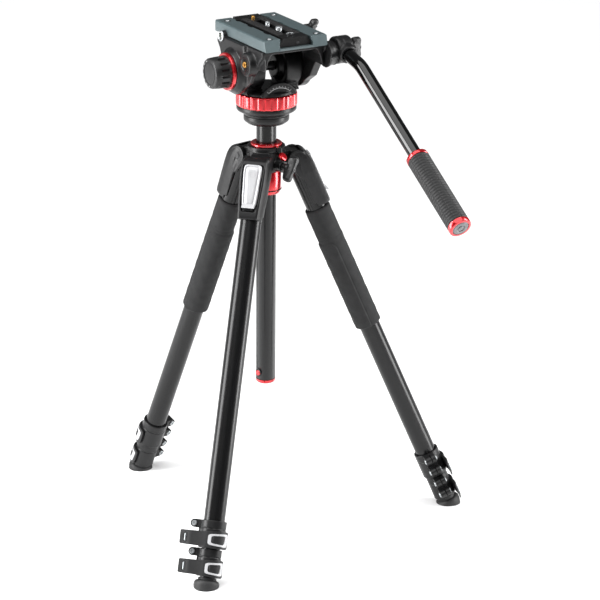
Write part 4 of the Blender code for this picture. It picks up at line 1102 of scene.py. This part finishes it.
def make_sliding_plate():
    top, low = 0.0587, 0.0458
    near, far = -0.079, 0.061
    wide, narrow = 0.0245, 0.0195
    slot, slot_near, slot_far = 0.0052, -0.056, 0.026

    def bar(sign, y):
        section = [
            (slot, low), (wide, low), (wide, top - 0.0085), (narrow, top - 0.002), (narrow, top), (slot, top)
        ]
        return [(x * sign, y, z) for x, z in section]

    solids = [solid([bar(sign, near), bar(sign, far)]) for sign in (1, -1)]
    solids.append(block((-slot - 0.0004, near, low), (slot + 0.0004, slot_near, top)))
    solids.append(block((-slot - 0.0004, slot_far, low), (slot + 0.0004, far, top)))
    solids.append(block((-0.005, slot_near - 0.001, low), (0.005, slot_far + 0.001, low + 0.0004)))
    piece(
        "camera_plate_body", solids, "camera_plate", "dark_cast", TILT, bevel=0.0004, cad=["sliding_plate"],
        sharp=40.0
    )
    rib_rows = []
    for sign in (1, -1):
        frame_line = rounded(0.0072, slot_near - 0.006, 0.0172, slot_far + 0.016, 0.0022)
        rib_rows.append(placed(relief(frame_line, [
            (0.0, top - 0.0004), (0.0, top + 0.0002), (0.0003, top + 0.0004)
        ]), Matrix.Scale(sign, 4, (1, 0, 0))))
        left, right = sorted((sign * 0.008, sign * 0.0164))
        steps = 30
        for i in range(steps):
            y = slot_near - 0.0042 + (slot_far + 0.0142 - slot_near + 0.0042) * i / (steps - 1)
            rib_rows.append(block((left, y - 0.0008, top + 0.0003), (right, y + 0.0008, top + 0.0009)))
    piece("camera_plate_strips", rib_rows, "camera_plate", "rubber", TILT, bevel=0.00015)
    rim = [
        prism(rounded(
            left, slot_near - 0.0014, right, slot_far + 0.0014, 0.0005
        ), top - 0.0005, top + 0.0005) for left,
        right in ((-0.0064, -0.0052), (0.0052, 0.0064))
    ]
    piece("camera_plate_slot_rim", rim, "camera_plate", "cast", TILT)
    pin = turned([
        (0.0024, top - 0.001), (0.0024, top + 0.0028), (0.0018, top + 0.0035), (0.0006, top + 0.0036)
    ], 28)
    piece("anti_twist_pin", [placed(pin, shift(0, 0.0385, 0))], "camera_plate", "brass", TILT)
    base = turned([
        (0.0046, top - 0.0005), (0.0046, top + 0.0004), (0.004, top + 0.0008), (0.001, top + 0.0008)
    ], 32)
    bow = []
    for i in range(25):
        angle = radians(-100 + 200 * i / 24)
        bow.append((0.005 * sin(angle), 0.005 * cos(angle) * 0.9, 0.0))
    wire = tube_of(bow, 0.0007, shift(0, -0.0655, top + 0.0013))
    piece("plate_screw", [placed(base, shift(0, -0.0655, 0))], "camera_plate", "dark_steel", TILT)
    piece("plate_screw_ring", [wire], "camera_plate", "steel", TILT)
    stop = block((0.002, near - 0.0004, low + 0.003), (0.0062, near + 0.002, low + 0.0062))
    piece("plate_end_catch", [stop], "camera_plate", "plastic", TILT, bevel=0.0003)
    for name, y, radius, head in (("large", -0.034, 0.0047, 0.009), ("small", -0.002, 0.0031, 0.0082)):
        screw = [
            (head - 0.0008, low + 0.0008), (head, low + 0.0012), (head, low + 0.004), (radius, low + 0.0044)
        ]
        pitch = 0.0008
        for i in range(int((top + 0.0036 - low - 0.005) / pitch)):
            z = low + 0.005 + i * pitch
            screw += [(radius, z), (radius - 0.00018, z + pitch / 2)]
        screw += [
            (radius, top + 0.0036), (radius - 0.0008, top + 0.0045), (radius * 0.5, top + 0.0048),
            (radius * 0.2, top + 0.0048)
        ]
        piece(
            f"camera_screw_{name}_turned", [placed(turned(screw, 48), shift(0, y, 0))],
            f"camera_screw_{name}", "steel", TILT, cad=[f"camera_screw_{name}"]
        )


def tube_of(points, radius, place, count=12):
    """A thin wire in a level plane."""
    rings = []
    for i, point in enumerate(points):
        before, after = points[max(i - 1, 0)], points[min(i + 1, len(points) - 1)]
        ahead = (Vector(after) - Vector(before)).normalized()
        side = Vector((-ahead.y, ahead.x, 0))
        rings.append([Vector(point) + side * x + Vector((0, 0, y)) for x, y, _ in circle(radius, 0.0, count)])
    return placed(solid(rings), place)


def make_tilt_lock():
    out = TILT @ along_x(0.0563)
    arm = [(0.0, 0.007), (-0.004, 0.0065), (0.009, 0.033)] + arc((0.012, 0.033), 0.004, 180, 0, 12)
    arm += [(0.008, 0.006)]
    solids = [turned([
        (0.011, 0.0003), (0.011, 0.0056), (0.0096, 0.0076), (0.008, 0.008)
    ], 48), prism(arm, 0.0016, 0.0062)]
    casting("tilt_lock_arm", solids, [], "tilt_lock", "plastic", out, 0.0005, 4, cad=["tilt_lock_lever"])
    screw = turned([
        (0.0034, 0.007), (0.0034, 0.0084), (0.0028, 0.0088), (0.0014, 0.0087), (0.0012, 0.0078)
    ], 28)
    piece("tilt_lock_screw", [screw], "tilt_lock", "dark_steel", out)


def make_pan_bar():
    pivot = Vector((COLUMN.x, COLUMN.y - 0.075, 0.6935))
    place = Matrix.Translation(pivot)
    bar_x, bar_r, grip_r = 0.0745, 0.0092, 0.0158
    start, bend, end = Vector((0.015, 0.0067)), Vector((-0.0535, -0.0097)), Vector((-0.313, -0.1677))
    first, second = (bend - start).normalized(), (end - bend).normalized()
    reach = 0.06 * (first.angle(second) / 2)
    a, b = bend - first * reach, bend + second * reach
    route = [start, a]
    for t in [i / 16 for i in range(1, 16)]:
        route.append(a * (1 - t) ** 2 + bend * (2 * t * (1 - t)) + b * t ** 2)
    route += [b, end]
    bar = swept([(bar_x, y, z) for y, z in route], bar_r, 48)
    piece("pan_bar_rod", [bar], "pan_bar", "gloss", place, cad=["pan_bar"])

    axis = place @ along_x(0, 0, 0.0015)
    low, high, r = 0.0624, 0.0862, 0.019
    barrel = turned([
        (r - 0.004, low), (r - 0.001, low + 0.0008), (r, low + 0.0022), (r, low + 0.008),
        (r - 0.0007, low + 0.0086), (r - 0.0007, low + 0.0092), (r, low + 0.0098), (r, high - 0.003),
        (r - 0.001, high - 0.001), (r - 0.004, high)
    ], 72)
    nose = swept([(bar_x, 0.0012, 0.002), (bar_x, -0.0215, -0.0033)], [0.0142, 0.0128], 40)
    nose = placed(nose, SIDEWAYS.inverted())
    bore = swept([(bar_x, start.x + 0.02, start.y + 0.0033), (bar_x, a.x, a.y - 0.0015)], bar_r + 0.0002, 40)
    bore = placed(bore, SIDEWAYS.inverted())
    casting(
        "pan_bar_barrel", [barrel, nose], [bore], "pan_bar", "cast", axis, 0.0008, 4, cad=["pan_bar_clamp"]
    )
    wing_knob(
        "clamp_wing", "clamp_knob", place @ along_x(high + 0.0003, 0, 0.0015), 0, 0.0052,
        [(0.005, 0.0), (0.0056, 0.003), (0.0072, 0.0062), (0.0066, 0.011)],
        [
            (0.01, 0.0052, 0.0034, 0.9), (0.0144, 0.0062, 0.0058, 0.85), (0.015, 0.0062, 0.01, 0.75),
            (0.0149, 0.0054, 0.015, 0.7), (0.0132, 0.004, 0.0173, 0.7)
        ],
        ["clamp_knob"]
    )

    # The grip's own frame: z runs down the bar from the grip's top.
    length = 0.134
    grip_end = end + second * 0.003
    top = grip_end - second * length
    down = Vector((0, second.x, second.y))
    up = down.cross(Vector((1, 0, 0)))
    spot = Matrix((Vector((1, 0, 0)), -up, down)).transposed().to_4x4()
    spot.translation = pivot + Vector((bar_x, top.x, top.y))
    columns, ribs = 120, 26
    rings = [circle(bar_r + 0.0003, 0.0062, columns)]
    begin, stop = 0.0062, length - 0.0085
    rows = ribs * 6
    for row in range(rows + 1):
        z = begin + (stop - begin) * row / rows
        phase = (row % 6) / 6
        ring = []
        for i in range(columns):
            angle = 2 * pi * i / columns
            flat = abs(((angle * 10 / (2 * pi)) % 1.0) - 0.5) * 2
            raised = 1.0 if 0.15 < phase < 0.7 else 0.0
            raised *= 1.0 if flat > 0.16 else 0.15
            r = grip_r - 0.0013 + 0.0011 * raised - 0.0004 * (row in (0, rows))
            ring.append((r * cos(angle), r * sin(angle), z))
        rings.append(ring)
    rings.append(circle(bar_r + 0.0003, stop, columns))
    piece(
        "grip_sleeve", [solid(rings, hollow=True)], "pan_bar", "rubber", spot, cad=["pan_bar_grip"],
        sharp=70.0
    )
    upper = turned([
        (bar_r + 0.0003, 0.0004), (grip_r - 0.0016, 0.0), (grip_r - 0.0004, 0.0008), (grip_r, 0.0022),
        (grip_r, 0.0056), (grip_r - 0.0006, 0.0062), (bar_r + 0.0003, 0.0062)
    ], 72, True)
    lower = turned([
        (0.0096, length - 0.0085), (grip_r - 0.0006, length - 0.0085), (grip_r, length - 0.0078),
        (grip_r, length - 0.003), (grip_r - 0.0006, length - 0.0016), (grip_r - 0.0024, length - 0.001),
        (0.0118, length - 0.0012), (0.0112, length - 0.003), (0.0096, length - 0.003)
    ], 72, True)
    piece("grip_red_ring_top", [upper], "pan_bar", "red", spot)
    piece("grip_red_ring_end", [lower], "pan_bar", "red", spot)
    disc = turned([
        (0.0113, length - 0.006), (0.0113, length - 0.0016), (0.0106, length - 0.0008),
        (0.0062, length - 0.0007), (0.0056, length - 0.0015), (0.004, length - 0.0016),
        (0.0034, length - 0.0007), (0.001, length - 0.0006)
    ], 56)
    piece("grip_end_cap", [disc], "pan_bar", "grey_cap", spot)


make_pan()
make_tilt_frame()
make_drag_knob()
make_cradle()
make_sliding_plate()
make_tilt_lock()
wing_knob(
    "plate_lock_wing", "plate_lock", TILT @ along_x(0.0478, -0.019, 0.0533), 35, 0.0042,
    [(0.0042, 0.0), (0.0042, 0.008), (0.006, 0.01), (0.0056, 0.013)],
    [
        (0.0085, 0.0045, 0.0088, 0.9), (0.0125, 0.0054, 0.0106, 0.85), (0.0128, 0.0052, 0.015, 0.75),
        (0.0124, 0.0042, 0.0178, 0.7), (0.011, 0.0032, 0.019, 0.7)
    ],
    ["plate_lock_knob"]
)
make_pan_bar()

# ---- floor and light ------------------------------------------------------------------------------


def make_floor():
    look = bpy.data.materials.new("pale_floor")
    look.use_nodes = True
    nodes, links = look.node_tree.nodes, look.node_tree.links
    shader = nodes["Principled BSDF"]
    noise = nodes.new("ShaderNodeTexNoise")
    noise.inputs["Scale"].default_value = 40
    tint = nodes.new("ShaderNodeMapRange")
    tint.inputs["To Min"].default_value = 0.92
    tint.inputs["To Max"].default_value = 0.94
    links.new(noise.outputs["Fac"], tint.inputs["Value"])
    links.new(tint.outputs["Result"], shader.inputs["Base Color"])
    shader.inputs["Roughness"].default_value = 0.7
    mesh = mesh_of("floor", [block((-12, -12, -0.05), (12, 12, 0.0))])
    mesh.materials.append(look)
    linked("floor", mesh)


def area_light(name, spot, target, size, power):
    data = bpy.data.lights.new(name, "AREA")
    data.shape = "RECTANGLE"
    data.size, data.size_y = size
    data.energy = power
    light = linked(name, data)
    light.location = COLUMN + Vector(spot)
    light.rotation_euler = (Vector(target) - Vector(spot)).to_track_quat("-Z", "Y").to_euler()


def make_light():
    """A white surround for the eye, a dim one for reflections, and panels that put stripes on the tubes."""
    world = bpy.data.worlds.new("studio")
    world.use_nodes = True
    nodes, links = world.node_tree.nodes, world.node_tree.links
    seen, dim = nodes["Background"], nodes.new("ShaderNodeBackground")
    seen.inputs["Color"].default_value = (1.0, 1.0, 1.0, 1.0)
    seen.inputs["Strength"].default_value = 1.0
    dim.inputs["Color"].default_value = (0.96, 0.98, 1.0, 1.0)
    dim.inputs["Strength"].default_value = 0.1
    path, choice = nodes.new("ShaderNodeLightPath"), nodes.new("ShaderNodeMixShader")
    links.new(path.outputs["Is Camera Ray"], choice.inputs["Fac"])
    links.new(dim.outputs["Background"], choice.inputs[1])
    links.new(seen.outputs["Background"], choice.inputs[2])
    links.new(choice.outputs["Shader"], nodes["World Output"].inputs["Surface"])
    bpy.context.scene.world = world
    bpy.context.scene.view_settings.view_transform = "Standard"
    bpy.context.scene.view_settings.look = "None"
    sun_data = bpy.data.lights.new("overhead", "SUN")
    sun_data.energy = 3.3
    sun_data.angle = radians(75)
    sun = linked("overhead", sun_data)
    sun.rotation_euler = Vector((0.3, 0.22, -1.0)).to_track_quat("-Z", "Y").to_euler()
    area_light("left_panel", (-1.35, 0.4, 0.8), (0, 0, 0.4), (0.7, 1.7), 46)
    area_light("right_panel", (1.15, -0.75, 0.8), (0, 0, 0.4), (0.5, 1.7), 34)


make_floor()
make_light()
